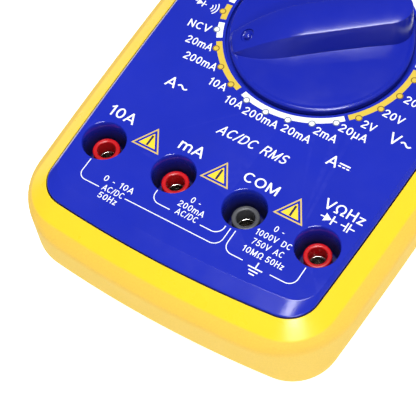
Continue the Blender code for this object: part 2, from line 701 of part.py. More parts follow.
# --- fuses, clips and shunt on the back of the board --------------------------------------------
FUSES = {"10a": (-16.0, -50.0), "ma": (17.0, -50.0)}
FUSE_Z = 19.2
FUSE_END_INNER = 4.8   # end caps, from the middle of the fuse
FUSE_END_OUTER = 10.0
CLIP_OFFSET = 7.3      # clip from the middle of the fuse
CLIP_STEPS = 4
SHUNT_X = -10.0
SHUNT_Y = -57.2
SHUNT_HALF = 9.0
SHUNT_STEPS = 8


def build_fuse(label, x, y):
    axis_place = (y, FUSE_Z)
    fuse = solid("fuse_" + label, GLASS, rod(axis_place, 2.3, around(x, 9.0), 16, axis="X"),
                 origin=(x, y, FUSE_Z))
    end_spans = ((x - FUSE_END_OUTER, x - FUSE_END_INNER),
                 (x + FUSE_END_INNER, x + FUSE_END_OUTER))
    join(fuse, helper("fuse_ends_" + label, *[
        rod(axis_place, 2.6, span, 16, axis="X") for span in end_spans]))


def build_fuse_clips():
    """Spring clips: each half flares at its mouth, hugs the fuse and runs up to the board."""
    start, stop = math.radians(-18), math.radians(52)
    hug = [polar((0.0, FUSE_Z), 3.2, start + (stop - start) * i / CLIP_STEPS)
           for i in range(CLIP_STEPS + 1)]
    half = [(1.9, 15.6), (2.9, 16.9)] + hug + [(2.0, BOARD_BOTTOM - 0.5)]
    path = half + [(-across, z) for across, z in reversed(half)]
    centres = [(x + side * CLIP_OFFSET, y) for x, y in FUSES.values() for side in (-1, 1)]
    for i, centre in enumerate(centres, 1):
        sheet(f"fuse_clip_{i}", path, width=4.0, thickness=0.36, centre=centre,
              turn=math.radians(90), origin=(*centre, BOARD_BOTTOM))


def build_shunt():
    """A bar hanging below the board in half an ellipse, with straight ends."""
    points = [(SHUNT_X - SHUNT_HALF, SHUNT_Y, BELOW_BOARD)]
    for i in range(SHUNT_STEPS + 1):
        angle = math.pi * i / SHUNT_STEPS
        points.append((SHUNT_X - SHUNT_HALF * math.cos(angle), SHUNT_Y,
                       19.6 - 4.2 * math.sin(angle)))
    points.append((SHUNT_X + SHUNT_HALF, SHUNT_Y, BELOW_BOARD))
    wire("shunt_bar", COPPER, points, 0.75, (SHUNT_X, SHUNT_Y, BOARD_BOTTOM))


# --- selector switch --------------------------------------------------------------------------
POSITIONS = 28
POCKET_STEPS = 3       # points for each detent pocket
RING_OUTSIDE = 23.0
RING_INSIDE = 20.3     # mean radius of the pocketed edge
POCKET_DEPTH = 0.35    # to both sides of the mean
RING_BOTTOM = 31.2
RING_TOP = 35.3
DETENT_Z = 32.4        # height of the balls and springs
BALL_X = 18.1
SPRING_X = 10.8
SPRING_LENGTH = 5.0
SPRING_RADIUS = 1.25
SPRING_TURNS = 3
SPRING_STEPS = 8       # for each turn
HUB_TOP = FACE_Z + 4.6
ROTOR_RADIUS = 18.0
ROTOR_TOP = 35.2
ROTOR_BOTTOM = 29.4
ROTOR_FOOT = (12.0, 27.2)           # radius and bottom of the step under the rotor
# (radius, height)
ROTOR_PROFILE = (
    (0.0, HUB_TOP), (HUB_RADIUS - 0.4, HUB_TOP), (HUB_RADIUS, HUB_TOP - 0.4),
    (HUB_RADIUS, ROTOR_TOP), (ROTOR_RADIUS, ROTOR_TOP), (ROTOR_RADIUS, ROTOR_BOTTOM),
    (ROTOR_FOOT[0], ROTOR_BOTTOM), ROTOR_FOOT, (0.0, ROTOR_FOOT[1]),
)
WIPERS = 3
WIPER_PLACE_RADIUS = 14.6
WIPER_TOP = 28.6
WIPER_FOOT = 26.2
# (x, z) before turning
WIPER_PATH = (
    (-5.0, WIPER_FOOT), (-3.6, WIPER_FOOT), (-1.6, WIPER_TOP),
    (1.6, WIPER_TOP), (3.6, WIPER_FOOT), (5.0, WIPER_FOOT),
)


def build_detent_ring():
    """A ring whose inner edge has one shallow pocket for each dial position."""
    count = POSITIONS * POCKET_STEPS
    angles = [2 * math.pi * i / count for i in range(count)]
    outside = [polar(DIAL_CENTRE, RING_OUTSIDE, angle) for angle in angles]
    inside = [polar(DIAL_CENTRE, RING_INSIDE + POCKET_DEPTH * math.cos(POSITIONS * angle), angle)
              for angle in angles]
    levels = ((outside, RING_BOTTOM), (outside, RING_TOP),
              (inside, RING_TOP), (inside, RING_BOTTOM))
    hoop("detent_ring", WHITE, [[(x, y, z) for x, y in edge] for edge, z in levels],
         origin=(*DIAL_CENTRE, RING_BOTTOM))


def build_rotor():
    rotor = turned("switch_rotor", WHITE, ROTOR_PROFILE, DIAL_CENTRE, 28, FACE_Z)
    cut(rotor, helper("rotor_pockets", *[
        rod((DIAL_Y, DETENT_Z), 1.95, span, 12, axis="X")
        for span in ((-20.0, -10.2), (10.2, 20.0))]))
    for i in range(WIPERS):
        angle = math.radians(90 + 360 / WIPERS * i)
        sheet(f"rotor_contact_{i + 1}", WIPER_PATH, width=2.2, thickness=0.3,
              centre=polar(DIAL_CENTRE, WIPER_PLACE_RADIUS, angle), turn=angle + math.pi / 2,
              origin=(*DIAL_CENTRE, WIPER_TOP))


def build_detents():
    """A ball and its spring on the right (1) and on the left (2) of the rotor."""
    for number, side in ((1, 1), (2, -1)):
        ball_centre = (side * BALL_X, DIAL_Y, DETENT_Z)
        mesh = bmesh.new()
        bmesh.ops.create_uvsphere(mesh, u_segments=12, v_segments=8, radius=1.6,
                                  matrix=Matrix.Translation(ball_centre))
        finish(mesh, f"detent_ball_{number}", STEEL, ball_centre)
        count = SPRING_TURNS * SPRING_STEPS
        coil = []
        for i in range(count + 1):
            y, z = polar((DIAL_Y, DETENT_Z), SPRING_RADIUS, 2 * math.pi * i / SPRING_STEPS)
            coil.append((side * (SPRING_X + SPRING_LENGTH * i / count), y, z))
        wire(f"detent_spring_{number}", STEEL, coil, 0.22, (side * SPRING_X, DIAL_Y, DETENT_Z))


# --- knob -------------------------------------------------------------------------------------
KNOB_RADIUS = 22.15
KNOB_LIP = 0.85
KNOB_DOME = 1.95       # height of the disc's middle above the face
# (radius, height above the face)
KNOB_PROFILE = (
    (0.0, KNOB_DOME), (7.0, 1.86), (12.0, 1.63), (16.0, 1.33), (19.6, 1.0), (20.6, 0.7),
    (21.2, KNOB_LIP), (21.8, KNOB_LIP), (KNOB_RADIUS, KNOB_LIP - 0.4), (KNOB_RADIUS, GAP),
    (0.0, GAP),
)
KNOB_ANGLE = math.radians(37.0)     # the tail of the handle; the pointer is opposite
KNOB_CROWN = 0.5       # crown of the handle above its side edges
FOOT_HALF = 6.35       # half width of the handle's foot
FOOT_Z = 0.6           # foot above the face, inside the disc
EDGE_HALF = 4.6        # half width between the handle's top edges
EDGE_HEIGHT = 7.55     # top edges above the face
# distances from the knob axis along the handle, + is the tail
HANDLE_STATIONS = (
    -21.6, -20.0, -17.5, -14.5, -11.5, -8.5, -5.0, 0.0, 6.0, 12.0, 16.0, 18.0, 19.5, 20.6, 21.3,
)


def taper(station, start, length, power):
    """Growth of the pointer's taper: 0 at the start, 1 a length further out."""
    return ((start - station) / length) ** power


def tail_round(station, start, length):
    """Elliptical width factor: 1 up to the start, 0 a length further towards the tail."""
    return math.sqrt(max(0.0, 1.0 - (max(0.0, station - start) / length) ** 2))


def foot_half(station):
    if station < -7.0:
        return FOOT_HALF - 3.6 * taper(station, start=-7.0, length=14.7, power=2.5)
    straight = FOOT_HALF - 0.026 * (station + 7.0)
    return straight * tail_round(station, start=15.8, length=6.1)


def edge_half(station):
    if station < -2.0:
        return EDGE_HALF - 1.55 * taper(station, start=-2.0, length=19.0, power=1.8)
    straight = EDGE_HALF + 0.006 * (station + 2.0)
    return straight * tail_round(station, start=16.3, length=5.3)


def edge_height(station):
    if station < -3.0:
        return EDGE_HEIGHT - 5.95 * taper(station, start=-3.0, length=18.0, power=1.75)
    return EDGE_HEIGHT + 0.0445 * (station + 3.0)


def handle_section(station):
    """(across, height above the face) from foot to foot over the crown."""
    foot, edge, height = foot_half(station), edge_half(station), edge_height(station)
    crown = KNOB_CROWN * (edge / EDGE_HALF) ** 0.7
    shoulder = height + crown * 0.84
    return ((-foot, FOOT_Z), (-edge, height), (-edge * 0.5, shoulder), (0.0, height + crown),
            (edge * 0.5, shoulder), (edge, height), (foot, FOOT_Z))


def build_knob_handle():
    face_centre = Vector((*DIAL_CENTRE, FACE_Z))
    along = Vector((math.cos(KNOB_ANGLE), math.sin(KNOB_ANGLE), 0.0))
    across = Vector((-along.y, along.x, 0.0))
    mesh = bmesh.new()
    rows = add_rows(mesh, [
        [face_centre + along * station + across * offset + Vector((0, 0, height))
         for offset, height in handle_section(station)] for station in HANDLE_STATIONS])
    skin(mesh, rows)
    mesh.faces.new(rows[0][::-1])
    mesh.faces.new(rows[-1])
    bmesh.ops.recalc_face_normals(mesh, faces=mesh.faces)
    return finish(mesh, "knob_handle", None)


def build_knob():
    """Turned disc with the handle on top and a socket for the hub."""
    profile = [(radius, FACE_Z + height) for radius, height in KNOB_PROFILE]
    knob = turned("knob", BLUE, profile, DIAL_CENTRE, 44, FACE_Z)
    join(knob, build_knob_handle())
    socket = rod(DIAL_CENTRE, HUB_RADIUS + GAP, (FACE_Z - 3.0, FACE_Z + 5.0), 20)
    cut(knob, helper("knob_socket", socket))


# --- assembly ---------------------------------------------------------------------------------
build_holster()
build_front_cover()
build_rear_cover()
build_battery_cover()
build_battery()
build_battery_snap()
build_battery_wires()
build_stand()
build_screws()
build_board()
build_board_parts()
build_display()
build_display_holder()
for button_label, button_x in BUTTONS.items():
    build_button(button_label, button_x)
for jack_label, jack_centre in JACKS.items():
    build_jack(jack_label, jack_centre)
for fuse_label, fuse_centre in FUSES.items():
    build_fuse(fuse_label, *fuse_centre)
build_fuse_clips()
build_shunt()
build_detent_ring()
build_rotor()
build_detents()
build_knob()
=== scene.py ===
import math

import bmesh
import bpy
import numpy as np
from mathutils import Matrix, Vector


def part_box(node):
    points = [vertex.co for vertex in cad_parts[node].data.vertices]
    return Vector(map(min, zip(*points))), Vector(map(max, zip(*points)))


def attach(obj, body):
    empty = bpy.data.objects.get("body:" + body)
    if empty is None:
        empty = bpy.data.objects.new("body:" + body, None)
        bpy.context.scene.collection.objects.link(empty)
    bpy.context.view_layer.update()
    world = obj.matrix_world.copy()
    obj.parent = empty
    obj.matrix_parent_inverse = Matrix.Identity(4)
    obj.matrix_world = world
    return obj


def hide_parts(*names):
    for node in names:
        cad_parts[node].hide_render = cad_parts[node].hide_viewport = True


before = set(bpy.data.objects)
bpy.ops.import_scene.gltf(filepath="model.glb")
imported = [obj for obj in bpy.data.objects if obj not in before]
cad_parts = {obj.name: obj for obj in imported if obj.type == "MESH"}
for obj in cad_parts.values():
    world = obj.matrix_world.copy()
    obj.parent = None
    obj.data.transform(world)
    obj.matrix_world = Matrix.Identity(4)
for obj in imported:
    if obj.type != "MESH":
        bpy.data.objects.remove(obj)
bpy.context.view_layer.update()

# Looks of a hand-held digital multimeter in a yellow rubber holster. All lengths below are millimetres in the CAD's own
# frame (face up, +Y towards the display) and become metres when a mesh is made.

scene = bpy.context.scene
MM = 0.001


def box_mm(node):
    lo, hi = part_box(node)
    return lo * 1000.0, hi * 1000.0


def centre_mm(node):
    lo, hi = box_mm(node)
    return (lo + hi) / 2


FACE_Z = round(box_mm("front_cover")[1].z, 3)
KNOB_LOW, KNOB_HIGH = box_mm("knob")
DIAL_Y = -15.55
DIAL = Vector((0.0, DIAL_Y, FACE_Z))
JACKS = {k: (round(centre_mm("jack_sleeve_" + k).x, 2), round(centre_mm("jack_sleeve_" + k).y, 2)) for k in ("10a", "ma", "com", "v")}
HALF_WIDTH, HALF_LENGTH, SIDE_RADIUS, END_RADIUS, CORNER_RADIUS = 37.37, 86.05, 1470.0, 285.7, 7.4
FACE_BEVEL, END_BEVEL, SIDE_BEVEL, PLATE, PARTING, GAP = 1.15, 4.0, 0.9, 2.4, 17.15, 0.3
WELL_RADIUS, SLEEVE_RADIUS, SLEEVE_BORE, SLEEVE_DROP, CONTACT_RADIUS, CONTACT_BORE = 5.0, 3.25, 2.1, 3.8, 2.45, 2.0
KNOB_RADIUS, KNOB_LIP, KNOB_DOME, KNOB_CROWN, KNOB_ANGLE = 22.15, 0.85, 1.80, 0.64, math.radians(37.0)
HUB_RADIUS = 3.4
BOARD_TOP, BOARD_BOTTOM, BACK_Z = 25.6, 24.0, 2.3
BUTTON_Y, BUTTON_X = 26.0, {"select": -20.0, "hold": 0.0, "light": 20.0}
STAND_HALF, STAND_Y, STAND_Z, STAND_LENGTH = 25.0, 28.0, 4.2, 72.0
CASE_SCREWS = ((-24.0, 74.3), (24.0, 74.3), (-19.0, -73.6), (19.0, -73.6))
BOARD_SCREWS = ((-30.0, 17.5), (30.0, 17.5), (0.0, -47.0))


# ------------------------------------------------------------------------------------------------------- materials
def linear(r, g, b):
    return tuple(((c / 255 / 12.92) if c / 255 <= 0.04045 else ((c / 255 + 0.055) / 1.055) ** 2.4) for c in (r, g, b))


class Look:
    """A node material: a Principled BSDF fed by small procedural textures in the object's own metres."""

    def __init__(self, name):
        self.m = bpy.data.materials.new(name)
        self.m.use_nodes = True
        self.t = self.m.node_tree
        self.t.nodes.clear()
        self.out = self.t.nodes.new("ShaderNodeOutputMaterial")
        self.b = self.t.nodes.new("ShaderNodeBsdfPrincipled")
        self.t.links.new(self.b.outputs["BSDF"], self.out.inputs["Surface"])
        self.co = self.t.nodes.new("ShaderNodeTexCoord").outputs["Object"]

    def put(self, socket, value):
        if hasattr(value, "is_output"):
            self.t.links.new(value, self.b.inputs[socket])
        else:
            self.b.inputs[socket].default_value = value
        return self

    def node(self, kind, props=None, **inputs):
        n = self.t.nodes.new(kind)
        for k, v in (props or {}).items():
            setattr(n, k, v)
        for k, v in inputs.items():
            k = k.replace("_", " ")
            if hasattr(v, "is_output"):
                self.t.links.new(v, n.inputs[k])
            else:
                n.inputs[k].default_value = v
        return n

    def stretched(self, sx, sy, sz):
        n = self.t.nodes.new("ShaderNodeMapping")
        self.t.links.new(self.co, n.inputs["Vector"])
        n.inputs["Scale"].default_value = (sx, sy, sz)
        return n.outputs["Vector"]

    def noise(self, scale, detail=3.0, rough=0.55, vector=None):
        n = self.node("ShaderNodeTexNoise", Scale=scale, Detail=detail, Roughness=rough)
        self.t.links.new(vector or self.co, n.inputs["Vector"])
        return n.outputs["Fac"]

    def ramp(self, fac, *stops):
        n = self.t.nodes.new("ShaderNodeValToRGB")
        self.t.links.new(fac, n.inputs["Fac"])
        e = n.color_ramp.elements
        while len(e) < len(stops):
            e.new(0.5)
        for el, (pos, col) in zip(e, stops):
            el.position = pos
            el.color = (*col, 1.0) if isinstance(col, tuple) else (col, col, col, 1.0)
        return n.outputs["Color"]

    def span(self, fac, lo, hi, out_lo, out_hi):
        n = self.t.nodes.new("ShaderNodeMapRange")
        self.t.links.new(fac, n.inputs["Value"])
        for k, v in (("From Min", lo), ("From Max", hi), ("To Min", out_lo), ("To Max", out_hi)):
            n.inputs[k].default_value = v
        return n.outputs["Result"]

    def maths(self, op, a, b=0.0):
        n = self.t.nodes.new("ShaderNodeMath")
        n.operation = op
        for i, v in enumerate((a, b)):
            if hasattr(v, "is_output"):
                self.t.links.new(v, n.inputs[i])
            else:
                n.inputs[i].default_value = v
        return n.outputs[0]

    def mix(self, fac, a, b, mode="MIX"):
        n = self.t.nodes.new("ShaderNodeMix")
        n.data_type = "RGBA"
        n.blend_type = mode
        for s, v in ((n.inputs[0], fac), (n.inputs[6], a), (n.inputs[7], b)):
            if hasattr(v, "is_output"):
                self.t.links.new(v, s)
            else:
                s.default_value = v if not isinstance(v, tuple) else (*v[:3], 1.0)
        return n.outputs[2]

    def bump(self, height, distance, strength=1.0, over=None):
        n = self.t.nodes.new("ShaderNodeBump")
        n.inputs["Strength"].default_value = strength
        n.inputs["Distance"].default_value = distance
        self.t.links.new(height, n.inputs["Height"])
        if over is not None:
            self.t.links.new(over, n.inputs["Normal"])
        return n.outputs["Normal"]


def moulded(name, base, rough=0.38, spec=0.5, grain=5200.0, depth=6e-6, mottle=0.06, sheen=0.0, sheen_rough=0.4,
            wear_and_highlight=0.0, coat=0.0, subsurface=0.0, hue=None):
    """Injection-moulded plastic or rubber: spark-eroded grain, slow colour and gloss drift, faint rubbed edges that are
    also a painted edge highlight.
    """
    k = Look(name)
    drift = k.noise(34.0, 4.0, 0.6)
    dark = tuple(c * (1 - mottle) for c in base)
    light = tuple(min(1.0, c * (1 + mottle)) for c in (hue or base))
    colour = k.ramp(drift, (0.32, dark), (0.68, light))
    speck = k.noise(2600.0, 2.0, 0.5)
    colour = k.mix(k.span(speck, 0.3, 0.7, 0.0, 0.10), colour, tuple(c * 0.82 for c in base))
    if wear_and_highlight > 0:
        # Lighter colour on sharp edges: partly rubbed wear, partly a painted highlight where edges catch the light.
        geo = k.t.nodes.new("ShaderNodeNewGeometry")
        edge = k.span(geo.outputs["Pointiness"], 0.52, 0.60, 0.0, wear_and_highlight)
        patchy = k.maths("MULTIPLY", edge, k.span(k.noise(420.0, 4.0), 0.35, 0.65, 0.1, 1.0))
        colour = k.mix(patchy, colour, tuple(min(1.0, c * 1.15 + 0.05) for c in base))
    k.put("Base Color", colour)
    k.put("Roughness", k.span(k.noise(120.0, 5.0, 0.6), 0.3, 0.7, max(0.04, rough - 0.05), rough + 0.05))
    k.put("Specular IOR Level", spec)
    fine = k.noise(grain, 2.0, 0.5)
    wave = k.noise(70.0, 2.0, 0.5)
    n = k.bump(fine, depth)
    n = k.bump(wave, 2.0e-5, 0.35, over=n)
    k.put("Normal", n)
    if sheen:
        k.put("Sheen Weight", sheen)
        k.put("Sheen Roughness", sheen_rough)
    if coat:
        k.put("Coat Weight", coat)
        k.put("Coat Roughness", 0.12)
    if subsurface:
        k.put("Subsurface Weight", subsurface)
        k.put("Subsurface Scale", 0.0012)
        k.put("Subsurface Radius", (1.0, 0.6, 0.2))
    return k.m


def metal(name, base, rough=0.25, stretch=(1.0, 1.0, 1.0), scale=1600.0, stain=0.12):
    """Plated or drawn metal: fine drawing lines, a slow tarnish, small gloss changes."""
    k = Look(name)
    lines = k.noise(scale, 4.0, 0.6, k.stretched(*stretch))
    tarnish = k.noise(240.0, 5.0, 0.6)
    colour = k.ramp(tarnish, (0.3, tuple(c * (1 - stain) for c in base)), (0.7, base))
    k.put("Base Color", colour).put("Metallic", 1.0)
    k.put("Roughness", k.span(lines, 0.3, 0.7, max(0.05, rough - 0.08), rough + 0.1))
    k.put("Normal", k.bump(lines, 3e-6))
    return k.m


def ink(name, base, rough=0.45, spec=0.3):
    """Pad-printed ink: very slightly uneven coverage and edge-to-edge gloss."""
    k = Look(name)
    cover = k.noise(900.0, 4.0, 0.65)
    k.put("Base Color", k.ramp(cover, (0.25, tuple(c * 0.93 for c in base)), (0.6, base)))
    k.put("Roughness", k.span(k.noise(300.0), 0.3, 0.7, rough - 0.08, rough + 0.08))
    k.put("Specular IOR Level", spec)
    k.put("Normal", k.bump(k.noise(7000.0, 2.0), 3e-6))
    return k.m


BLUE = moulded("blue_moulding", (0.0090, 0.0200, 0.362), rough=0.17, spec=0.46, grain=5200.0, depth=1.1e-5, mottle=0.05, wear_and_highlight=0.12)
BLUE_KNOB = moulded("blue_knob", (0.0062, 0.0150, 0.325), rough=0.205, spec=0.48, grain=5600.0, depth=9.0e-6, mottle=0.04, wear_and_highlight=0.08)
BLUE_BACK = moulded("blue_back_moulding", (0.0095, 0.0200, 0.385), rough=0.46, spec=0.34, grain=2600.0, depth=2.2e-5, mottle=0.06, wear_and_highlight=0.25)
YELLOW = moulded("yellow_rubber", (0.79, 0.538, 0.0185), rough=0.40, spec=0.20, grain=4200.0, depth=8e-6, mottle=0.03,
                 sheen=0.02, sheen_rough=0.45, wear_and_highlight=0.12)


def side_texture_and_shade(m):
    """The holster's sides carry a coarser texture than its smooth top band and are coloured darker and paler, as
    painted shade and a painted pale reflection of the floor; the band between them is in the middle.
    """
    k = Look.__new__(Look)
    k.m, k.t = m, m.node_tree
    k.b = next(n for n in k.t.nodes if n.type == "BSDF_PRINCIPLED")
    k.co = next(n for n in k.t.nodes if n.type == "TEX_COORD").outputs["Object"]
    x = k.t.nodes.new("ShaderNodeSeparateXYZ")
    k.t.links.new(k.co, x.inputs[0])
    z = k.maths("ADD", x.outputs["Z"], k.maths("MULTIPLY", k.noise(900.0), 1.2e-4))
    below_b = k.span(z, (FACE_Z - 4.40) * MM, (FACE_Z - 4.85) * MM, 0.0, 1.0)
    below_c = k.span(z, (FACE_Z - 8.2) * MM, (FACE_Z - 9.4) * MM, 0.0, 1.0)
    now = k.b.inputs["Base Color"].links[0].from_socket
    sparkle = k.span(k.noise(3000.0, 3.0), 0.3, 0.7, 0.93, 1.04)
    # Painted shade and painted floor reflection: the middle band darker, the lowest band darker and paler than the top
    # band.
    mid = k.mix(1.0, (0.710, 0.452, 0.050), sparkle, "MULTIPLY")
    low = k.mix(1.0, (0.705, 0.482, 0.070), sparkle, "MULTIPLY")
    colour = k.mix(below_c, k.mix(below_b, now, mid), low)
    k.t.links.new(colour, k.b.inputs["Base Color"])
    rough = k.b.inputs["Roughness"].links[0].from_socket
    k.put("Roughness", k.maths("ADD", rough, k.span(below_b, 0.0, 1.0, -0.10, 0.16)))
    soft_normal = k.b.inputs["Normal"].links[0].from_socket
    n = k.bump(k.maths("MULTIPLY", k.noise(2400.0, 3.0), below_b), 3.0e-5, over=soft_normal)
    k.put("Normal", n)


side_texture_and_shade(YELLOW)


def paint_recess_shade(m):
    """Down inside the wells and the knob's trench the moulding is painted darker with depth, as painted shade, and made
    duller than its polished face.
    """
    k = Look.__new__(Look)
    k.m, k.t = m, m.node_tree
    k.b = next(n for n in k.t.nodes if n.type == "BSDF_PRINCIPLED")
    k.co = next(n for n in k.t.nodes if n.type == "TEX_COORD").outputs["Object"]
    x = k.t.nodes.new("ShaderNodeSeparateXYZ")
    k.t.links.new(k.co, x.inputs[0])
    z = k.maths("ADD", x.outputs["Z"], k.maths("MULTIPLY", k.noise(700.0), 3.0e-4))
    down = k.span(z, (FACE_Z - 1.2) * MM, (FACE_Z - 5.0) * MM, 0.0, 1.0)
    now = k.b.inputs["Base Color"].links[0].from_socket
    # Painted shade: the colour darkens towards a deep navy further below the face.
    k.t.links.new(k.mix(down, now, (0.0045, 0.0060, 0.115)), k.b.inputs["Base Color"])
    rough = k.b.inputs["Roughness"].links[0].from_socket
    k.put("Roughness", k.maths("ADD", rough, k.span(down, 0.0, 1.0, 0.0, 0.25)))


paint_recess_shade(BLUE)


def paint_wall_shade(m, factor):
    """Steep walls are painted darker than the top, as painted shade."""
    k = Look.__new__(Look)
    k.m, k.t = m, m.node_tree
    k.b = next(n for n in k.t.nodes if n.type == "BSDF_PRINCIPLED")
    k.co = next(n for n in k.t.nodes if n.type == "TEX_COORD").outputs["Object"]
    x = k.t.nodes.new("ShaderNodeSeparateXYZ")
    k.t.links.new(k.t.nodes.new("ShaderNodeNewGeometry").outputs["True Normal"], x.inputs[0])
    steep = k.span(k.maths("ABSOLUTE", x.outputs["Z"]), 0.55, 0.35, 0.0, 1.0)
    now = k.b.inputs["Base Color"].links[0].from_socket
    # Painted shade: steep faces take the base colour multiplied by the factor.
    k.t.links.new(k.mix(k.maths("MULTIPLY", steep, 1.0), now, k.mix(1.0, now, factor, "MULTIPLY")), k.b.inputs["Base Color"])


def calm_edges(m, near, far):
    """Rough rubber loses its shine where it is seen at a shallow angle."""
    k = Look.__new__(Look)
    k.m, k.t = m, m.node_tree
    k.b = next(n for n in k.t.nodes if n.type == "BSDF_PRINCIPLED")
    w = k.t.nodes.new("ShaderNodeLayerWeight")
    w.inputs["Blend"].default_value = 0.5
    k.put("Specular IOR Level", k.span(w.outputs["Facing"], 0.45, 0.85, near, far))


# Painted shade on the knob's steep handle walls.
paint_wall_shade(BLUE_KNOB, (1.0, 0.80, 0.74))
calm_edges(YELLOW, 0.24, 0.05)
YELLOW_PLASTIC = moulded("yellow_plastic", (0.88, 0.56, 0.02), rough=0.42, spec=0.35, grain=3600.0, depth=1.2e-5, mottle=0.04, wear_and_highlight=0.2)
RED = moulded("red_insulator", (0.52, 0.005, 0.008), rough=0.28, spec=0.45, grain=6000.0, depth=2e-6, mottle=0.08)
GREY = moulded("grey_insulator", (0.070, 0.072, 0.078), rough=0.34, spec=0.45, grain=6000.0, depth=2e-6, mottle=0.10)
BUTTON_RUBBER = moulded("button_rubber", (0.50, 0.52, 0.56), rough=0.55, spec=0.25, grain=3800.0, depth=1.2e-5, mottle=0.05, sheen=0.2)
WHITE_PLASTIC = moulded("white_plastic", (0.74, 0.73, 0.69), rough=0.45, spec=0.4, grain=3000.0, depth=8e-6, mottle=0.04)
BLACK_PLASTIC = moulded("black_plastic", (0.012, 0.012, 0.014), rough=0.48, spec=0.4, grain=3000.0, depth=1.4e-5, mottle=0.15)
CONDUCTIVE = moulded("conductive_rubber", (0.030, 0.030, 0.034), rough=0.75, spec=0.2, grain=2200.0, depth=2e-5, mottle=0.2)
WIRE_RED = moulded("wire_red", (0.55, 0.010, 0.012), rough=0.4, spec=0.4, grain=2400.0, depth=1e-5, mottle=0.1)
WIRE_BLACK = moulded("wire_black", (0.015, 0.015, 0.016), rough=0.42, spec=0.4, grain=2400.0, depth=1e-5, mottle=0.2)
NICKEL = metal("nickel", (0.86, 0.83, 0.78), 0.16, (1.0, 1.0, 0.15), scale=900.0, stain=0.06)
STEEL = metal("steel", (0.60, 0.60, 0.60), 0.30, (1.0, 1.0, 0.3))
COPPER = metal("copper_alloy", (0.78, 0.47, 0.25), 0.30, (0.4, 1.0, 1.0), stain=0.25)
INK_WHITE = ink("ink_white", (0.80, 0.82, 0.84))
INK_YELLOW = ink("ink_yellow", (0.60, 0.430, 0.045))
INK_SIGN = ink("ink_sign", (0.80, 0.56, 0.022))
INK_TAN = ink("ink_tan", (0.58, 0.42, 0.12))
INK_NAVY = ink("ink_navy", (0.012, 0.014, 0.060))
INK_RING_Y = ink("ink_ring_ochre", (0.20, 0.115, 0.012))
INK_RING_W = ink("ink_ring_grey", (0.13, 0.16, 0.23))
INK_BLACK = ink("ink_black", (0.010, 0.010, 0.012), 0.3)


def board_look():
    """Green solder mask over a faint copper pattern."""
    k = Look("circuit_board")
    a = k.node("ShaderNodeTexWave", {"wave_type": "BANDS", "bands_direction": "X"}, Scale=110.0, Distortion=1.2, Detail=1.0)
    k.t.links.new(k.co, a.inputs["Vector"])
    b = k.node("ShaderNodeTexBrick", Scale=70.0)
    k.t.links.new(k.co, b.inputs["Vector"])
    track = k.maths("MULTIPLY", k.span(a.outputs["Fac"], 0.72, 0.78, 0.0, 1.0), b.outputs["Fac"])
    mask = k.ramp(k.noise(90.0, 5.0), (0.3, (0.008, 0.085, 0.030)), (0.7, (0.012, 0.120, 0.042)))
    k.put("Base Color", k.mix(track, mask, (0.035, 0.22, 0.07)))
    k.put("Roughness", k.span(k.noise(500.0), 0.3, 0.7, 0.30, 0.45))
    k.put("Normal", k.bump(track, 3e-5))
    return k.m


def cell_look():
    """A printed battery jacket: two plain colour zones with a soft pressed seam, no marks."""
    k = Look("battery_can")
    x = k.t.nodes.new("ShaderNodeSeparateXYZ")
    k.t.links.new(k.co, x.inputs[0])
    zone = k.span(x.outputs["X"], 0.0100, 0.0104, 0.0, 1.0)
    dark = k.ramp(k.noise(160.0, 4.0), (0.3, (0.020, 0.021, 0.024)), (0.7, (0.036, 0.037, 0.042)))
    k.put("Base Color", k.mix(zone, dark, (0.62, 0.36, 0.12)))
    k.put("Metallic", k.span(zone, 0.0, 1.0, 0.35, 0.9))
    k.put("Roughness", k.span(k.noise(700.0), 0.3, 0.7, 0.26, 0.40))
    k.put("Normal", k.bump(k.noise(300.0), 2e-5))
    return k.m


def lens_look():
    """Clear acrylic: mostly see-through with a thin reflection and a hint of dust haze."""
    k = Look("clear_lens")
    k.t.nodes.remove(k.b)
    clear = k.t.nodes.new("ShaderNodeBsdfTransparent")
    k.t.links.new(k.ramp(k.noise(60.0), (0.3, (0.93, 0.95, 0.95)), (0.7, (0.96, 0.97, 0.97))), clear.inputs["Color"])
    gloss = k.t.nodes.new("ShaderNodeBsdfGlossy")
    k.t.links.new(k.span(k.noise(900.0, 4.0), 0.4, 0.7, 0.03, 0.10), gloss.inputs["Roughness"])
    fres = k.t.nodes.new("ShaderNodeFresnel")
    fres.inputs["IOR"].default_value = 1.49
    k.t.links.new(k.bump(k.noise(45.0), 1e-5), fres.inputs["Normal"])
    mixer = k.t.nodes.new("ShaderNodeMixShader")
    k.t.links.new(fres.outputs[0], mixer.inputs[0])
    k.t.links.new(clear.outputs[0], mixer.inputs[1])
    k.t.links.new(gloss.outputs[0], mixer.inputs[2])
    k.t.links.new(mixer.outputs[0], k.out.inputs["Surface"])
    return k.m


def lcd_look():
    """Reflective display glass: grey-green, faint cell grid and cloudy polariser."""
    k = Look("lcd_glass")
    tone = k.ramp(k.noise(22.0, 3.0), (0.3, (0.300, 0.345, 0.270)), (0.7, (0.345, 0.390, 0.305)))
    grid = k.node("ShaderNodeTexBrick", {"offset": 0.0}, Scale=420.0)
    grid.inputs["Mortar Size"].default_value = 0.03
    k.t.links.new(k.co, grid.inputs["Vector"])
    k.put("Base Color", k.mix(k.maths("MULTIPLY", grid.outputs["Fac"], 0.10), tone, (0.20, 0.24, 0.19)))
    k.put("Roughness", k.span(k.noise(300.0), 0.3, 0.7, 0.16, 0.24))
    k.put("Coat Weight", 0.4)
    return k.m


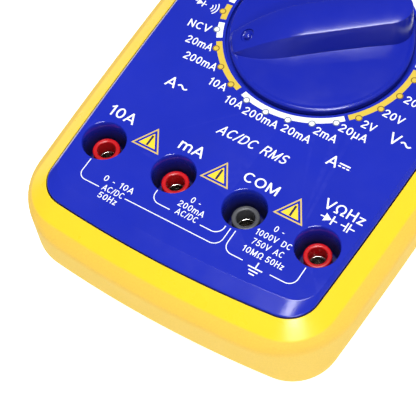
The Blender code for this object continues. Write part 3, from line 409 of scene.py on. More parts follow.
def fuse_look():
    """Fuse tube: clear glass in the middle, nickel caps at both ends."""
    k = Look("fuse_glass")
    x = k.t.nodes.new("ShaderNodeSeparateXYZ")
    k.t.links.new(k.co, x.inputs[0])
    near = k.maths("MINIMUM", k.maths("ABSOLUTE", k.maths("ADD", x.outputs["X"], 0.0160)),
                   k.maths("ABSOLUTE", k.maths("ADD", x.outputs["X"], -0.0170)))
    cap = k.span(near, 0.0047, 0.0049, 0.0, 1.0)
    k.put("Base Color", k.mix(cap, (0.80, 0.86, 0.86), (0.72, 0.70, 0.66)))
    k.put("Metallic", cap)
    k.put("Roughness", k.span(k.noise(600.0), 0.3, 0.7, 0.08, 0.2))
    k.put("Alpha", k.span(cap, 0.0, 1.0, 0.4, 1.0))
    return k.m


BOARD, CELL, LENS, LCD, FUSE = board_look(), cell_look(), lens_look(), lcd_look(), fuse_look()

CAD_LOOKS = {
    "main_board": BOARD, "battery": CELL, "battery_snap": BLACK_PLASTIC, "battery_wire_red": WIRE_RED,
    "battery_wire_black": WIRE_BLACK, "lcd_panel": LCD, "backlight_panel": WHITE_PLASTIC, "lcd_holder": WHITE_PLASTIC,
    "zebra_strip_1": CONDUCTIVE, "zebra_strip_2": CONDUCTIVE, "detent_ring": WHITE_PLASTIC, "switch_rotor": WHITE_PLASTIC,
    "meter_ic": BLACK_PLASTIC, "buzzer": BLACK_PLASTIC, "crystal": STEEL, "ncv_antenna": COPPER, "shunt_bar": COPPER,
    "fuse_10a": FUSE, "fuse_ma": FUSE,
}
for node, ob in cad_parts.items():
    if node in CAD_LOOKS:
        look = CAD_LOOKS[node]
    elif node.startswith(("fuse_clip", "rotor_contact")):
        look = COPPER
    elif node.startswith("button_switch"):
        look = BLACK_PLASTIC
    elif "screw" in node or node.startswith("detent_"):
        look = STEEL
    else:
        look = WHITE_PLASTIC
    ob.data.materials.clear()
    ob.data.materials.append(look)


# ---------------------------------------------------------------------------------------------------- mesh helpers
def to_object(bm, name, mat, angle=32.0):
    """A millimetre bmesh becomes an object in metres with smooth faces and creases above the angle."""
    for v in bm.verts:
        v.co = v.co * MM
    me = bpy.data.meshes.new(name)
    bm.to_mesh(me)
    bm.free()
    me.shade_smooth()
    me.set_sharp_from_angle(angle=math.radians(angle))
    ob = bpy.data.objects.new(name, me)
    if mat is not None:
        me.materials.append(mat)
    scene.collection.objects.link(ob)
    return ob


def crossing(r1, r2):
    a, b = SIDE_RADIUS - HALF_WIDTH, END_RADIUS - HALF_LENGTH
    c1, c2 = Vector((-a, 0.0)), Vector((0.0, -b))
    d = (c2 - c1).length
    u = (r1 * r1 - r2 * r2 + d * d) / (2 * d)
    h = math.sqrt(r1 * r1 - u * u)
    e = (c2 - c1) / d
    return c1 + e * u + Vector((-e.y, e.x)) * h


def outline(side, end, radius, counts=(9, 14, 14)):
    """The case outline moved out by side and end: crowned sides and ends, filleted corners."""
    r = radius
    p = crossing(SIDE_RADIUS + side - r, END_RADIUS + end - r)
    a, b = SIDE_RADIUS - HALF_WIDTH, END_RADIUS - HALF_LENGTH
    t1, t2 = math.atan2(p.y, p.x + a), math.atan2(p.y + b, p.x)
    quad = [(-a + (SIDE_RADIUS + side) * math.cos(t1 * i / counts[0]), (SIDE_RADIUS + side) * math.sin(t1 * i / counts[0]))
            for i in range(counts[0])]
    quad += [(p.x + r * math.cos(t1 + (t2 - t1) * i / counts[1]), p.y + r * math.sin(t1 + (t2 - t1) * i / counts[1]))
             for i in range(counts[1])]
    for i in range(counts[2] + 1):
        t = t2 + (math.pi / 2 - t2) * i / counts[2]
        quad.append(((END_RADIUS + end) * math.cos(t), -b + (END_RADIUS + end) * math.sin(t)))
    quad[-1] = (0.0, quad[-1][1])
    top = quad + [(-x, y) for x, y in reversed(quad[:-1])]
    return top + [(x, -y) for x, y in reversed(top[1:-1])]


def rounded(points, closed=False, seg=5):
    """Levels (side, end, drop, radius, round): each corner with a round length becomes a short curve."""
    out, n = [], len(points)
    for i, p in enumerate(points):
        f, b = p[4], Vector(p[:4])
        if f <= 0 or (not closed and i in (0, n - 1)):
            out.append(b)
            continue
        a, c = Vector(points[i - 1][:4]), Vector(points[(i + 1) % n][:4])
        la, lc = math.hypot(a[0] - b[0], a[2] - b[2]), math.hypot(c[0] - b[0], c[2] - b[2])
        ta, tc = min(f, 0.48 * la) / la, min(f, 0.48 * lc) / lc
        p0, p1 = b + (a - b) * ta, b + (c - b) * tc
        for k in range(seg + 1):
            u = k / seg
            out.append(p0 * (1 - u) ** 2 + b * (2 * u * (1 - u)) + p1 * u * u)
    return out


def level(v):
    side, end, drop, radius = v
    return [Vector((x, y, FACE_Z - drop)) for x, y in outline(side, end, radius)]


def skin(bm, rows, closed=False, flip=False):
    """Quads between equal rows of vertices."""
    n = len(rows[0])
    for lo, hi in list(zip(rows, rows[1:])) + ([(rows[-1], rows[0])] if closed else []):
        for i in range(n):
            j = (i + 1) % n
            f = (lo[i], lo[j], hi[j], hi[i])
            bm.faces.new(tuple(reversed(f)) if flip else f)


def s(side, drop, radius=None, rnd=0.0, end=None):
    """A level as the CAD writes it: the corner radius follows the offset unless it is given."""
    end = side if end is None else end
    radius = max(CORNER_RADIUS + max(side, end), 2.5) if radius is None else radius
    return (side, end, drop, radius, rnd)


def lathe(name, mat, profile, centre, steps=64, closed=False, angle=32.0):
    """A turned solid. profile is (radius, height) from the top axis down the outside, or a closed section."""
    bm = bmesh.new()
    rows = []
    for r, z in profile:
        if r < 1e-6:
            rows.append([bm.verts.new((centre[0], centre[1], z))])
        else:
            rows.append([bm.verts.new((centre[0] + r * math.cos(2 * math.pi * i / steps),
                                       centre[1] + r * math.sin(2 * math.pi * i / steps), z)) for i in range(steps)])
    pairs = list(zip(rows, rows[1:])) + ([(rows[-1], rows[0])] if closed else [])
    for a, b in pairs:
        for i in range(steps):
            j = (i + 1) % steps
            if len(a) == 1 and len(b) == 1:
                continue
            if len(a) == 1:
                bm.faces.new((a[0], b[i], b[j]))
            elif len(b) == 1:
                bm.faces.new((a[j], a[i], b[0]))
            else:
                bm.faces.new((a[j], a[i], b[i], b[j]))
    bmesh.ops.recalc_face_normals(bm, faces=bm.faces)
    return to_object(bm, name, mat, angle)


def curve_corner(p0, v, p1, seg=5):
    """Points of a rounded corner between two points with the given corner point."""
    return [tuple(p0[i] * (1 - u) ** 2 + 2 * v[i] * u * (1 - u) + p1[i] * u * u for i in range(2))
            for u in (k / seg for k in range(seg + 1))]


def soft(profile, amount, seg=5, closed=False):
    """Rounds the corners of a (radius, height) profile. amount is one length or a list, one for each point."""
    out, n = [], len(profile)
    for i, p in enumerate(profile):
        f = amount[i] if isinstance(amount, (list, tuple)) else amount
        if f <= 0 or (not closed and i in (0, n - 1)):
            out.append(tuple(p))
            continue
        a, c = profile[i - 1], profile[(i + 1) % n]
        la, lc = math.dist(a, p), math.dist(c, p)
        ta, tc = min(f, 0.48 * la) / la, min(f, 0.48 * lc) / lc
        out += curve_corner([p[k] + (a[k] - p[k]) * ta for k in range(2)], p, [p[k] + (c[k] - p[k]) * tc for k in range(2)], seg)
    return out


def rrect(cx, cy, hx, hy, r, grow=0.0, n=6):
    """A rounded rectangle, moved out by grow."""
    hx, hy, r = hx + grow, hy + grow, max(0.02, r + grow)
    r = min(r, hx - 1e-3, hy - 1e-3)
    pts = []
    for sx, sy, t0 in ((1, 1, 0), (-1, 1, 90), (-1, -1, 180), (1, -1, 270)):
        for i in range(n + 1):
            t = math.radians(t0 + 90 * i / n)
            pts.append((cx + sx * (hx - r) + r * math.cos(t), cy + sy * (hy - r) + r * math.sin(t)))
    return pts


def stack(name, mat, shape, levels, angle=32.0, cap_mid=None):
    """A rounded-rectangle prism whose outline grows or shrinks with height. levels: (height, grow)."""
    cx, cy, hx, hy, r = shape
    bm = bmesh.new()
    rows = [[bm.verts.new((x, y, z)) for x, y in rrect(cx, cy, hx, hy, r, g)] for z, g in levels]
    skin(bm, rows)
    bm.faces.new(list(reversed(rows[0])))
    if cap_mid is None:
        bm.faces.new(rows[-1])
    else:
        top = bm.verts.new((cx, cy, cap_mid))
        n = len(rows[-1])
        for i in range(n):
            bm.faces.new((rows[-1][i], rows[-1][(i + 1) % n], top))
    bmesh.ops.recalc_face_normals(bm, faces=bm.faces)
    return to_object(bm, name, mat, angle)


def rod(name, c, r, span, axis="X", seg=32):
    """A round cutter or pin along an axis."""
    bm = bmesh.new()
    rows = []
    for t in span:
        ring = []
        for i in range(seg):
            u, v = c[0] + r * math.cos(2 * math.pi * i / seg), c[1] + r * math.sin(2 * math.pi * i / seg)
            ring.append(bm.verts.new({"X": (t, u, v), "Y": (u, t, v), "Z": (u, v, t)}[axis]))
        rows.append(ring)
    skin(bm, rows)
    bm.faces.new(list(reversed(rows[0])))
    bm.faces.new(rows[-1])
    bmesh.ops.recalc_face_normals(bm, faces=bm.faces)
    return to_object(bm, name, None)


def carve(ob, tools, angle=32.0):
    """Runs the Boolean steps in order, keeps the result as the mesh, and removes the tools."""
    for op, tool in tools:
        m = ob.modifiers.new("step", "BOOLEAN")
        m.operation, m.object, m.solver = op, tool, "EXACT"
        m.material_mode = "INDEX"
    bpy.context.view_layer.update()
    dg = bpy.context.evaluated_depsgraph_get()
    me = bpy.data.meshes.new_from_object(ob.evaluated_get(dg))
    mats = [m for m in ob.data.materials]
    ob.modifiers.clear()
    ob.data = me
    me.materials.clear()
    for m in mats:
        me.materials.append(m)
    bm = bmesh.new()
    bm.from_mesh(me)
    bmesh.ops.remove_doubles(bm, verts=bm.verts, dist=2e-7)
    for f in bm.faces:
        f.material_index = 0
    bm.to_mesh(me)
    bm.free()
    me.shade_smooth()
    me.set_sharp_from_angle(angle=math.radians(angle))
    for _, tool in tools:
        data = tool.data
        bpy.data.objects.remove(tool, do_unlink=True)
        bpy.data.meshes.remove(data)
    return ob


def flatten_normals(ob, plane=None):
    """Broad flat faces keep their own normal; only the rounded edges blend. plane is a height whose face stays dead flat."""
    if plane is not None:
        bm = bmesh.new()
        bm.from_mesh(ob.data)
        level_faces = {f for f in bm.faces if all(abs(v.co.z - plane * MM) < 4e-6 for v in f.verts)}
        for e in bm.edges:
            flat = [f in level_faces for f in e.link_faces]
            if any(flat) and not all(flat):
                e.smooth = False
        for f in level_faces:
            f.smooth = False
            for v in f.verts:
                v.co.z = plane * MM
        bm.to_mesh(ob.data)
        bm.free()
    m = ob.modifiers.new("normals", "WEIGHTED_NORMAL")
    m.mode = "FACE_AREA"
    m.weight = 80
    m.keep_sharp = True
    return ob


def show(ob, body, slot, *nodes):
    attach(ob, body)
    if nodes:
        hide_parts(*nodes)
    return ob


# --------------------------------------------------------------------------------------------------------- holster
profile = rounded([
    s(GAP, 1.3, 7.7, 0.30), s(4.3, 4.65, 11.9, 0.40), s(5.9, 6.2, 15.5, 0.6), s(6.9, 7.6, 18.5, 0.6),
    s(6.9, 9.4, 18.6, 0.9), s(5.0, 22.0, 11.6, 2.2), s(3.9, 24.5, 11.0, 1.5), s(-0.6, 33.6, 7.4, 1.8),
    s(-2.5, 36.5, 5.6, 1.4), s(-5.0, 38.0, 4.0, 1.0), s(-9.0, 38.0, 3.0, 0.5), s(-9.0, 36.0, 3.0, 0.3),
    s(-5.0, 36.0, 4.0, 0.5), s(-2.3, 33.2, 5.6, 1.0), s(2.4, 23.6, 10.0, 1.0), s(3.1, 21.6, 10.6, 1.0),
    s(4.75, 9.6, 16.6, 0.6), s(3.3, 6.9, 12.4, 0.6), s(GAP, 4.1, 7.7, 0.3)], closed=True)
bm = bmesh.new()
skin(bm, [[bm.verts.new(p) for p in level(v)] for v in profile], closed=True)
bmesh.ops.recalc_face_normals(bm, faces=bm.faces)
show(to_object(bm, "holster_rubber", YELLOW, 60.0), "case", "yellow_rubber", "holster")

# ----------------------------------------------------------------------------------------------------- front cover
outer = rounded([
    s(3.4, PARTING - 0.15, 13.3), s(4.3, 9.9, 16.2, 0.8), s(3.0, 7.2, 12.2, 0.8), s(0.0, 4.4, None, 0.4),
    s(0.0, FACE_BEVEL, None, 0.12), s(-SIDE_BEVEL, 0.0, 6.2, 0.05, end=-END_BEVEL), s(-3.6, 0.0, 4.6, 0.0, end=-7.6)])
inner = [v for v in rounded([
    s(1.5, PARTING - 0.15, 11.3), s(2.3, 10.9, 14.2, 0.5), s(1.6, 8.9, 11.0, 0.5), s(-2.2, 5.2, None, 0.3),
    s(-2.2, 3.9, None, 0.3), s(-3.2, PLATE, 4.0, 0.0, end=-6.1)], seg=2)]
bm = bmesh.new()
ro = [[bm.verts.new(p) for p in level(v)] for v in outer]
ri = [[bm.verts.new(p) for p in level(v)] for v in inner]
skin(bm, ro)
skin(bm, ri, flip=True)
n = len(ro[0])
for i in range(n):
    j = (i + 1) % n
    bm.faces.new((ro[0][j], ro[0][i], ri[0][i], ri[0][j]))
bm.faces.new(ro[-1])
bm.faces.new(list(reversed(ri[-1])))
bmesh.ops.recalc_face_normals(bm, faces=bm.faces)
front = to_object(bm, "front_cover_moulding", BLUE)

tools = []
for k, (x, y) in JACKS.items():
    tools.append(("UNION", rod("t_boss_" + k, (x, y), WELL_RADIUS + 1.6, (BOARD_TOP + 0.4, FACE_Z - 1.2), "Z", 48)))
for i, (x, y) in enumerate(CASE_SCREWS):
    tools.append(("UNION", rod("t_post_%d" % i, (x, y), 3.2, (FACE_Z - PARTING + 0.3, FACE_Z - 1.2), "Z", 24)))
for i, (x, y) in enumerate(BOARD_SCREWS):
    tools.append(("UNION", rod("t_stud_%d" % i, (x, y), 2.6, (BOARD_TOP + GAP, FACE_Z - 1.2), "Z", 20)))
for k, (x, y) in JACKS.items():
    lip = [(5.42, FACE_Z + 0.02), (5.38, FACE_Z - 0.01), (5.30, FACE_Z - 0.07)]
    lip += curve_corner((5.26, FACE_Z - 0.12), (5.03, FACE_Z - 0.55), (5.0, FACE_Z - 1.5), 8)
    lip += [(WELL_RADIUS, 29.0), (4.7, 28.7), (3.55, 28.7), (3.55, 28.2), (WELL_RADIUS, 28.2)]
    tools.append(("DIFFERENCE", lathe("t_well_" + k, None, [(0.0, 42.0), (5.42, 42.0)] + lip + [(WELL_RADIUS, 20.0), (0.0, 20.0)],
                                      (x, y), 80)))
# the knob sits in a narrow ring-shaped trench
trench = [(21.2, 42.0), (23.12, 42.0), (23.12, FACE_Z + 0.02), (23.06, FACE_Z - 0.004), (22.99, FACE_Z - 0.03), (22.95, FACE_Z - 0.12),
          (22.95, FACE_Z - 1.30), (22.85, FACE_Z - 1.40), (21.3, FACE_Z - 1.40), (21.2, FACE_Z - 1.30)]
tools.append(("DIFFERENCE", lathe("t_trench", None, trench, (0.0, DIAL_Y), 144, closed=True)))
tools.append(("DIFFERENCE", rod("t_hub", (0.0, DIAL_Y), HUB_RADIUS + 0.5, (30.0, 42.0), "Z", 40)))
for i, (x, y) in enumerate(CASE_SCREWS):
    tools.append(("DIFFERENCE", rod("t_pilot_%d" % i, (x, y), 1.6, (15.0, 33.0), "Z", 20)))
for i, (x, y) in enumerate(BOARD_SCREWS):
    tools.append(("DIFFERENCE", rod("t_pilotb_%d" % i, (x, y), 1.4, (20.0, 33.5), "Z", 20)))
for k, x in BUTTON_X.items():
    tools.append(("DIFFERENCE", stack("t_key_" + k, None, (x, BUTTON_Y, 5.8, 3.3, 2.5),
                                      [(30.0, 0.0), (37.55, 0.0), (37.80, 0.08), (37.95, 0.24), (38.0, 0.40), (42.0, 0.40)])))
tools.append(("DIFFERENCE", stack("t_seat", None, (0.0, 52.0, 32.3, 18.8, 2.3),
                                  [(36.3, 0.0), (37.6, 0.0), (37.82, 0.08), (37.95, 0.22), (38.0, 0.40), (42.0, 0.40)])))
tools.append(("DIFFERENCE", stack("t_view", None, (0.0, 52.0, 27.5, 14.5, 1.0), [(30.0, 0.0), (35.9, 0.0), (36.6, 0.7), (40.0, 0.7)])))
carve(front, tools)
flatten_normals(front, FACE_Z)
show(front, "case", "blue_plastic", "front_cover")

# ------------------------------------------------------------------------------------------------------ rear cover
top = PARTING + 0.15
outer = rounded([s(3.35, top, 13.2), s(2.75, 21.6, 10.2, 0.6), s(2.05, 23.5, 9.6, 0.6), s(-2.75, 33.0, 5.2, 1.2),
                 s(-5.2, 35.2, 3.8, 0.5), s(-5.9, FACE_Z - BACK_Z, 3.4)], seg=3)
inner = rounded([s(1.4, top, 11.2), s(0.85, 21.2, 8.4, 0.4), s(0.1, 23.0, 7.8, 0.4), s(-4.6, 32.2, 3.4, 0.5),
                 s(-6.7, 33.5, 2.5)], seg=2)
bm = bmesh.new()
ro = [[bm.verts.new(p) for p in level(v)] for v in outer]
ri = [[bm.verts.new(p) for p in level(v)] for v in inner]
skin(bm, ro)
skin(bm, ri, flip=True)
for i in range(n):
    j = (i + 1) % n
    bm.faces.new((ro[0][j], ro[0][i], ri[0][i], ri[0][j]))
bm.faces.new(ro[-1])
bm.faces.new(list(reversed(ri[-1])))
bmesh.ops.recalc_face_normals(bm, faces=bm.faces)
rear = to_object(bm, "rear_cover_moulding", BLUE_BACK)
mid_y = (STAND_Y - STAND_LENGTH - 3.0 + STAND_Y + 4.8) / 2
half_y = (STAND_LENGTH + 7.8) / 2
tools = [
    ("UNION", stack("t_stand_box", None, (0.0, mid_y, 27.6, half_y, 2.0), [(BACK_Z + 0.4, 0.0), (8.2, 0.0)])),
    ("UNION", stack("t_cell_box", None, (0.0, 54.6, 29.0, 16.0, 0.5), [(BACK_Z + 0.5, 0.0), (23.5, 0.0)])),
    ("UNION", stack("t_ledge", None, (0.0, 35.25, 28.3, 4.25, 0.5), [(BACK_Z + 0.45, 0.0), (6.8, 0.0)])),
    ("UNION", rod("t_cover_post", (0.0, 35.6), 2.7, (BACK_Z + 0.7, 13.0), "Z", 24)),
]
for i, (x, y) in enumerate(CASE_SCREWS):
    tools.append(("UNION", rod("t_rpost_%d" % i, (x, y), 3.6, (BACK_Z + 0.6, FACE_Z - PARTING - 0.3), "Z", 28)))
y0, y1 = STAND_Y - STAND_LENGTH - 0.7, STAND_Y + 2.6
tools.append(("DIFFERENCE", stack("t_pocket", None, (0.0, (y0 + y1) / 2, STAND_HALF + 0.5, (y1 - y0) / 2, 1.6),
                                  [(-3.0, 0.45), (2.3, 0.45), (2.42, 0.18), (2.8, 0.0), (6.2, 0.0)])))
tools.append(("DIFFERENCE", stack("t_cell_room", None, (0.0, 54.6, 27.5, 14.5, 0.6), [(6.2, 0.0), (22.7, 0.0)])))
tools.append(("DIFFERENCE", rod("t_pins", (STAND_Y, STAND_Z), 1.75, (-STAND_HALF - 1.5, STAND_HALF + 1.5), "X", 28)))
for i, (x, y) in enumerate(CASE_SCREWS):
    tools.append(("DIFFERENCE", lathe("t_sink_%d" % i, None, [(0.0, 8.0), (2.75, 8.0), (2.75, 2.75), (2.95, 2.4), (3.3, 2.3), (3.3, -3.0), (0.0, -3.0)], (x, y), 36)))
    tools.append(("DIFFERENCE", rod("t_shank_%d" % i, (x, y), 1.6, (7.0, 25.0), "Z", 20)))
tools.append(("DIFFERENCE", rod("t_cover_pilot", (0.0, 35.6), 1.4, (3.5, 12.0), "Z", 20)))
tools.append(("DIFFERENCE", stack("t_rebate", None, (0.0, 51.35, 26.3, 18.75, 1.5),
                                  [(-3.0, 0.40), (2.3, 0.40), (2.40, 0.14), (2.7, 0.0), (4.6, 0.0)])))
tools.append(("DIFFERENCE", stack("t_mouth", None, (0.0, 54.6, 25.0, 14.5, 0.6), [(0.0, 0.0), (8.0, 0.0)])))
tools.append(("DIFFERENCE", stack("t_wire_exit", None, (28.5, 55.0, 2.5, 5.0, 0.3), [(17.0, 0.0), (21.0, 0.0)])))
carve(rear, tools)
flatten_normals(rear, BACK_Z)
show(rear, "case", "blue_plastic", "rear_cover")

# ---------------------------------------------------------------------------------------- battery cover and screws
cover = stack("battery_cover_lid", BLUE_BACK, (0.0, 51.35, 26.0, 18.45, 1.3),
              [(4.3, -0.1), (4.2, 0.0), (2.75, 0.0), (2.45, -0.12), (BACK_Z, -0.45)])
tools = [("DIFFERENCE", lathe("t_lid_sink", None, [(0.0, 3.5), (2.5, 3.5), (2.5, 2.7), (2.62, 2.42), (2.95, 2.3), (2.95, 0.0), (0.0, 0.0)], (0.0, 35.6), 40)),
         ("DIFFERENCE", rod("t_lid_hole", (0.0, 35.6), 1.4, (0.5, 6.0), "Z", 24))]
for i in range(4):
    tools.append(("DIFFERENCE", stack("t_rib_%d" % i, None, (0.0, 61.4 + 1.6 * i, 8.0, 0.4, 0.35), [(0.0, 0.12), (2.3, 0.12), (2.5, 0.0), (2.75, -0.1)])))
carve(cover, tools)
flatten_normals(cover)
show(cover, "battery_door", "blue_plastic", "battery_cover")


def cross_cut(name, x, y, z, size, depth):
    """Cutter for a cross recess that opens downwards at height z."""
    bm = bmesh.new()
    pts = []
    a, b = size, size * 0.26
    for sx, sy in ((1, 0), (0, 1), (-1, 0), (0, -1)):
        px, py = -sy, sx
        pts += [(b * (sx - px), b * (sy - py)), (a * sx - b * px, a * sy - b * py), (a * sx + b * px, a * sy + b * py)]
    rows = []
    for zz, k in ((z - 0.5, 1.0), (z, 1.0), (z + depth, 0.55)):
        rows.append([bm.verts.new((x + px * k, y + py * k, zz)) for px, py in pts])
    skin(bm, rows)
    bm.faces.new(list(reversed(rows[0])))
    bm.faces.new(rows[-1])
    bmesh.ops.recalc_face_normals(bm, faces=bm.faces)
    return to_object(bm, name, None)


def thread(r, pitch, z0, z1, point):
    """Shank profile with thread-like crests, from the tip at z1 down to z0."""
    pts = [(0.0, z1 + 0.0), (r * 0.45, z1 - point * 0.55), (r * 0.78, z1 - point)]
    z = z1 - point
    while z - pitch > z0 + 0.3:
        pts += [(r, z - pitch * 0.35), (r, z - pitch * 0.45), (r * 0.80, z - pitch * 0.9)]
        z -= pitch
    pts.append((r * 0.80, z0))
    return pts


for i, (x, y) in enumerate(CASE_SCREWS, 1):
    head = [(2.0, 7.95), (2.38, 7.7), (2.4, 6.75), (2.25, 6.38), (1.7, 6.1), (0.9, 6.02), (0.0, 6.0)]
    ob = lathe("case_screw_steel_%d" % i, STEEL, thread(1.3, 1.0, 8.0, 31.0, 1.6) + [(1.04, 7.95)] + head, (x, y), 32)
    carve(ob, [("DIFFERENCE", cross_cut("t_cross", x, y, 6.0, 1.35, 1.1))])
    show(ob, "case", "steel", "case_screw_%d" % i)
ob = lathe("battery_cover_screw_steel", STEEL, thread(1.1, 0.8, 3.3, 11.0, 1.2) + [(0.88, 3.2), (2.1, 3.2), (2.2, 3.1), (2.2, 2.78), (2.0, 2.52), (1.4, 2.42), (0.0, 2.4)],
           (0.0, 35.6), 36)
carve(ob, [("DIFFERENCE", cross_cut("t_cross", 0.0, 35.6, 2.4, 1.25, 0.7))])
show(ob, "battery_door", "steel", "battery_cover_screw")

# ----------------------------------------------------------------------------------------------------------- stand
y0, y1 = STAND_Y - STAND_LENGTH, STAND_Y + 0.2
stand = stack("tilt_stand_leg", YELLOW_PLASTIC, (0.0, (y0 + y1) / 2, STAND_HALF, (y1 - y0) / 2, 1.5),
              [(2.5, -0.55), (2.6, -0.25), (2.85, 0.0), (4.65, 0.0), (4.9, -0.2), (5.0, -0.5)])
tools = [("UNION", rod("t_barrel", (STAND_Y, STAND_Z), 1.7, (-STAND_HALF, STAND_HALF), "X", 36)),
         ("UNION", rod("t_pin", (STAND_Y, STAND_Z), 1.4, (-STAND_HALF - 1.2, STAND_HALF + 1.2), "X", 32)),
         ("DIFFERENCE", stack("t_panel", None, (0.0, -9.0, 17.0, 23.0, 3.0), [(-2.0, 0.35), (2.5, 0.35), (2.65, 0.1), (2.9, 0.0), (3.4, -0.2)])),
         ("DIFFERENCE", stack("t_grip", None, (0.0, STAND_Y - STAND_LENGTH - 1.25, 9.0, 4.75, 2.5), [(-2.0, 0.0), (9.0, 0.0)]))]
for i in range(5):
    tools.append(("DIFFERENCE", stack("t_groove_%d" % i, None, (0.0, -36.2 + 1.5 * i - 0.0, 12.0, 0.35, 0.3), [(-2.0, 0.1), (2.5, 0.1), (2.75, -0.05)])))
carve(stand, tools)
flatten_normals(stand)
show(stand, "stand", "yellow_plastic", "tilt_stand")

# ----------------------------------------------------------------------------------------------------------- jacks
sleeve_top = FACE_Z - SLEEVE_DROP
for k, (x, y) in JACKS.items():
    mid = (SLEEVE_RADIUS + SLEEVE_BORE + 0.06) / 2
    half = (SLEEVE_RADIUS - SLEEVE_BORE - 0.06) / 2
    crest = [(mid + half * math.copysign(abs(math.cos(math.radians(t))) ** 0.72, math.cos(math.radians(t))),
              sleeve_top - 0.42 + 0.42 * max(0.0, math.sin(math.radians(t))) ** 0.72) for t in range(0, 181, 10)]
    section = [(SLEEVE_BORE + 0.05, sleeve_top - 0.9), (SLEEVE_BORE + 0.02, sleeve_top - 3.9), (CONTACT_RADIUS + GAP, sleeve_top - 3.9), (CONTACT_RADIUS + GAP, BOARD_TOP + GAP),
               (4.7, BOARD_TOP + GAP), (4.7, 27.8), (4.5, 28.0), (SLEEVE_RADIUS, 28.0)] + crest
    ob = lathe("jack_insulator_" + k, GREY if k == "com" else RED, section, (x, y), 56, closed=True, angle=40.0)
    show(ob, "case", "grey_plastic" if k == "com" else "red_plastic", "jack_sleeve_" + k)
    z = sleeve_top - 4.05
    tube = [(0.0, 12.0), (CONTACT_RADIUS, 12.0), (CONTACT_RADIUS, BOARD_BOTTOM - 1.3), (3.3, BOARD_BOTTOM - 1.3),
            (3.3, BOARD_BOTTOM - GAP), (CONTACT_RADIUS, BOARD_BOTTOM - GAP), (CONTACT_RADIUS, z - 0.12), (CONTACT_RADIUS - 0.08, z)]
    tube += [(2.12, z), (2.06, z - 0.02), (1.86, z - 0.42), (1.82, z - 0.60), (1.80, z - 1.0), (1.80, 13.0), (0.0, 13.0)]
    ob = lathe("jack_contact_tube_" + k, NICKEL, tube, (x, y), 56, angle=40.0)
    show(ob, "case", "nickel", "jack_contact_" + k)

# ------------------------------------------------------------------------------------------------------------ knob
F = FACE_Z


def disc_height(r):
    """Height of the knob's disc above the face, out to the foot of its dome."""
    return KNOB_DOME - (KNOB_DOME - 0.85) * (min(r, 20.4) / 20.4) ** 1.9


disc = [(0.0, F + KNOB_DOME)] + [(20.4 * i / 18, F + disc_height(20.4 * i / 18)) for i in range(1, 18)]
disc += soft([(20.2, F + disc_height(20.2)), (20.9, F + 0.765), (21.35, F + KNOB_LIP + 0.05),
              (21.75, F + KNOB_LIP + 0.03), (22.15, F + 0.40), (22.15, F - 0.9)], [0, 0.3, 0.2, 0.34, 0.3, 0], 6)
disc += [(21.45, F - 0.9), (21.45, F + GAP), (0.0, F + GAP)]
knob = lathe("knob_moulding", BLUE_KNOB, disc, (0.0, DIAL_Y), 160)


def foot_half(a):
    """Half width of the handle's foot along its length (+ is the tail)."""
    if a < -7.0:
        return 6.35 - 3.6 * ((-a - 7.0) / 14.7) ** 2.5
    return 6.35 - 0.026 * (a + 7.0)


def edge_half(a):
    """Half width between the two top edges."""
    if a < -2.0:
        return 4.6 - 1.55 * ((-a - 2.0) / 19.0) ** 1.8
    return 4.6 + 0.006 * (a + 2.0)


def edge_height(a):
    """Height of the top edges."""
    if a < -3.0:
        return 7.39 - 5.79 * ((-a - 3.0) / 18.0) ** 1.75
    return 7.39 + 0.0445 * (a + 3.0)


TIP, NOSE, TAIL_FOOT, TAIL_TOP = -20.9, 1.0, (15.8, 6.05), (16.3, 5.3)


def top_half(a):
    """Half width of the crown, with its rounded nose and tail."""
    w = edge_half(max(TIP + 0.3, min(TAIL_TOP[0], a)))
    if a > TAIL_TOP[0]:
        return w * math.sqrt(max(0.0, 1.0 - ((a - TAIL_TOP[0]) / TAIL_TOP[1]) ** 2))
    if a < TIP + 0.3:
        return w * max(0.0, 1.0 - (min(1.0, (TIP + 0.3 - a) / NOSE)) ** 3) ** (1 / 3)
    return w


def crown(a, b):
    """Height of the crown: fullest along the middle, falling to its edges."""
    w = top_half(a)
    c = KNOB_CROWN * (w / 4.7) ** 0.7
    return edge_height(a) + c * (1.0 - min(1.0, abs(b) / max(w, 0.05)) ** 2.1)


def plan_pair(n_nose=7, n_side=60, n_tail=16):
    """Matched half outlines, from the tip's middle to the tail's middle: foot and top edge."""
    foot, top = [], []
    for i in range(n_nose):
        t = math.pi / 2 * i / n_nose
        ca, sb = math.cos(t) ** (2 / 3), math.sin(t) ** (2 / 3)
        foot.append((TIP - NOSE * ca, foot_half(TIP) * sb))
        top.append((TIP + 0.3 - NOSE * ca, edge_half(TIP + 0.3) * sb))
    for i in range(n_side + 1):
        u = i / n_side
        a, b = TIP + (TAIL_FOOT[0] - TIP) * u, TIP + 0.3 + (TAIL_TOP[0] - TIP - 0.3) * u
        foot.append((a, foot_half(a)))
        top.append((b, edge_half(b)))
    for i in range(1, n_tail + 1):
        t = math.pi / 2 * i / n_tail
        foot.append((TAIL_FOOT[0] + TAIL_FOOT[1] * math.sin(t), foot_half(TAIL_FOOT[0]) * math.cos(t)))
        top.append((TAIL_TOP[0] + TAIL_TOP[1] * math.sin(t), edge_half(TAIL_TOP[0]) * math.cos(t)))
    foot[-1], top[-1] = (foot[-1][0], 0.0), (top[-1][0], 0.0)
    return foot, top


along = Vector((math.cos(KNOB_ANGLE), math.sin(KNOB_ANGLE), 0.0))
across = Vector((-along.y, along.x, 0.0))
foot_line, top_line = plan_pair()
m = len(foot_line)


def inward(line, i):
    """Unit inward normal of a half outline at point i."""
    if i == 0:
        return Vector((1.0, 0.0))
    if i == m - 1:
        return Vector((-1.0, 0.0))
    p0, p1 = line[i - 1], line[i + 1]
    t = Vector((p1[0] - p0[0], p1[1] - p0[1])).normalized()
    return Vector((t.y, -t.x))


def bezier(p, q, r, n):
    return [p * (1 - u) ** 2 + q * (2 * u * (1 - u)) + r * u * u for u in (k / n for k in range(n + 1))]


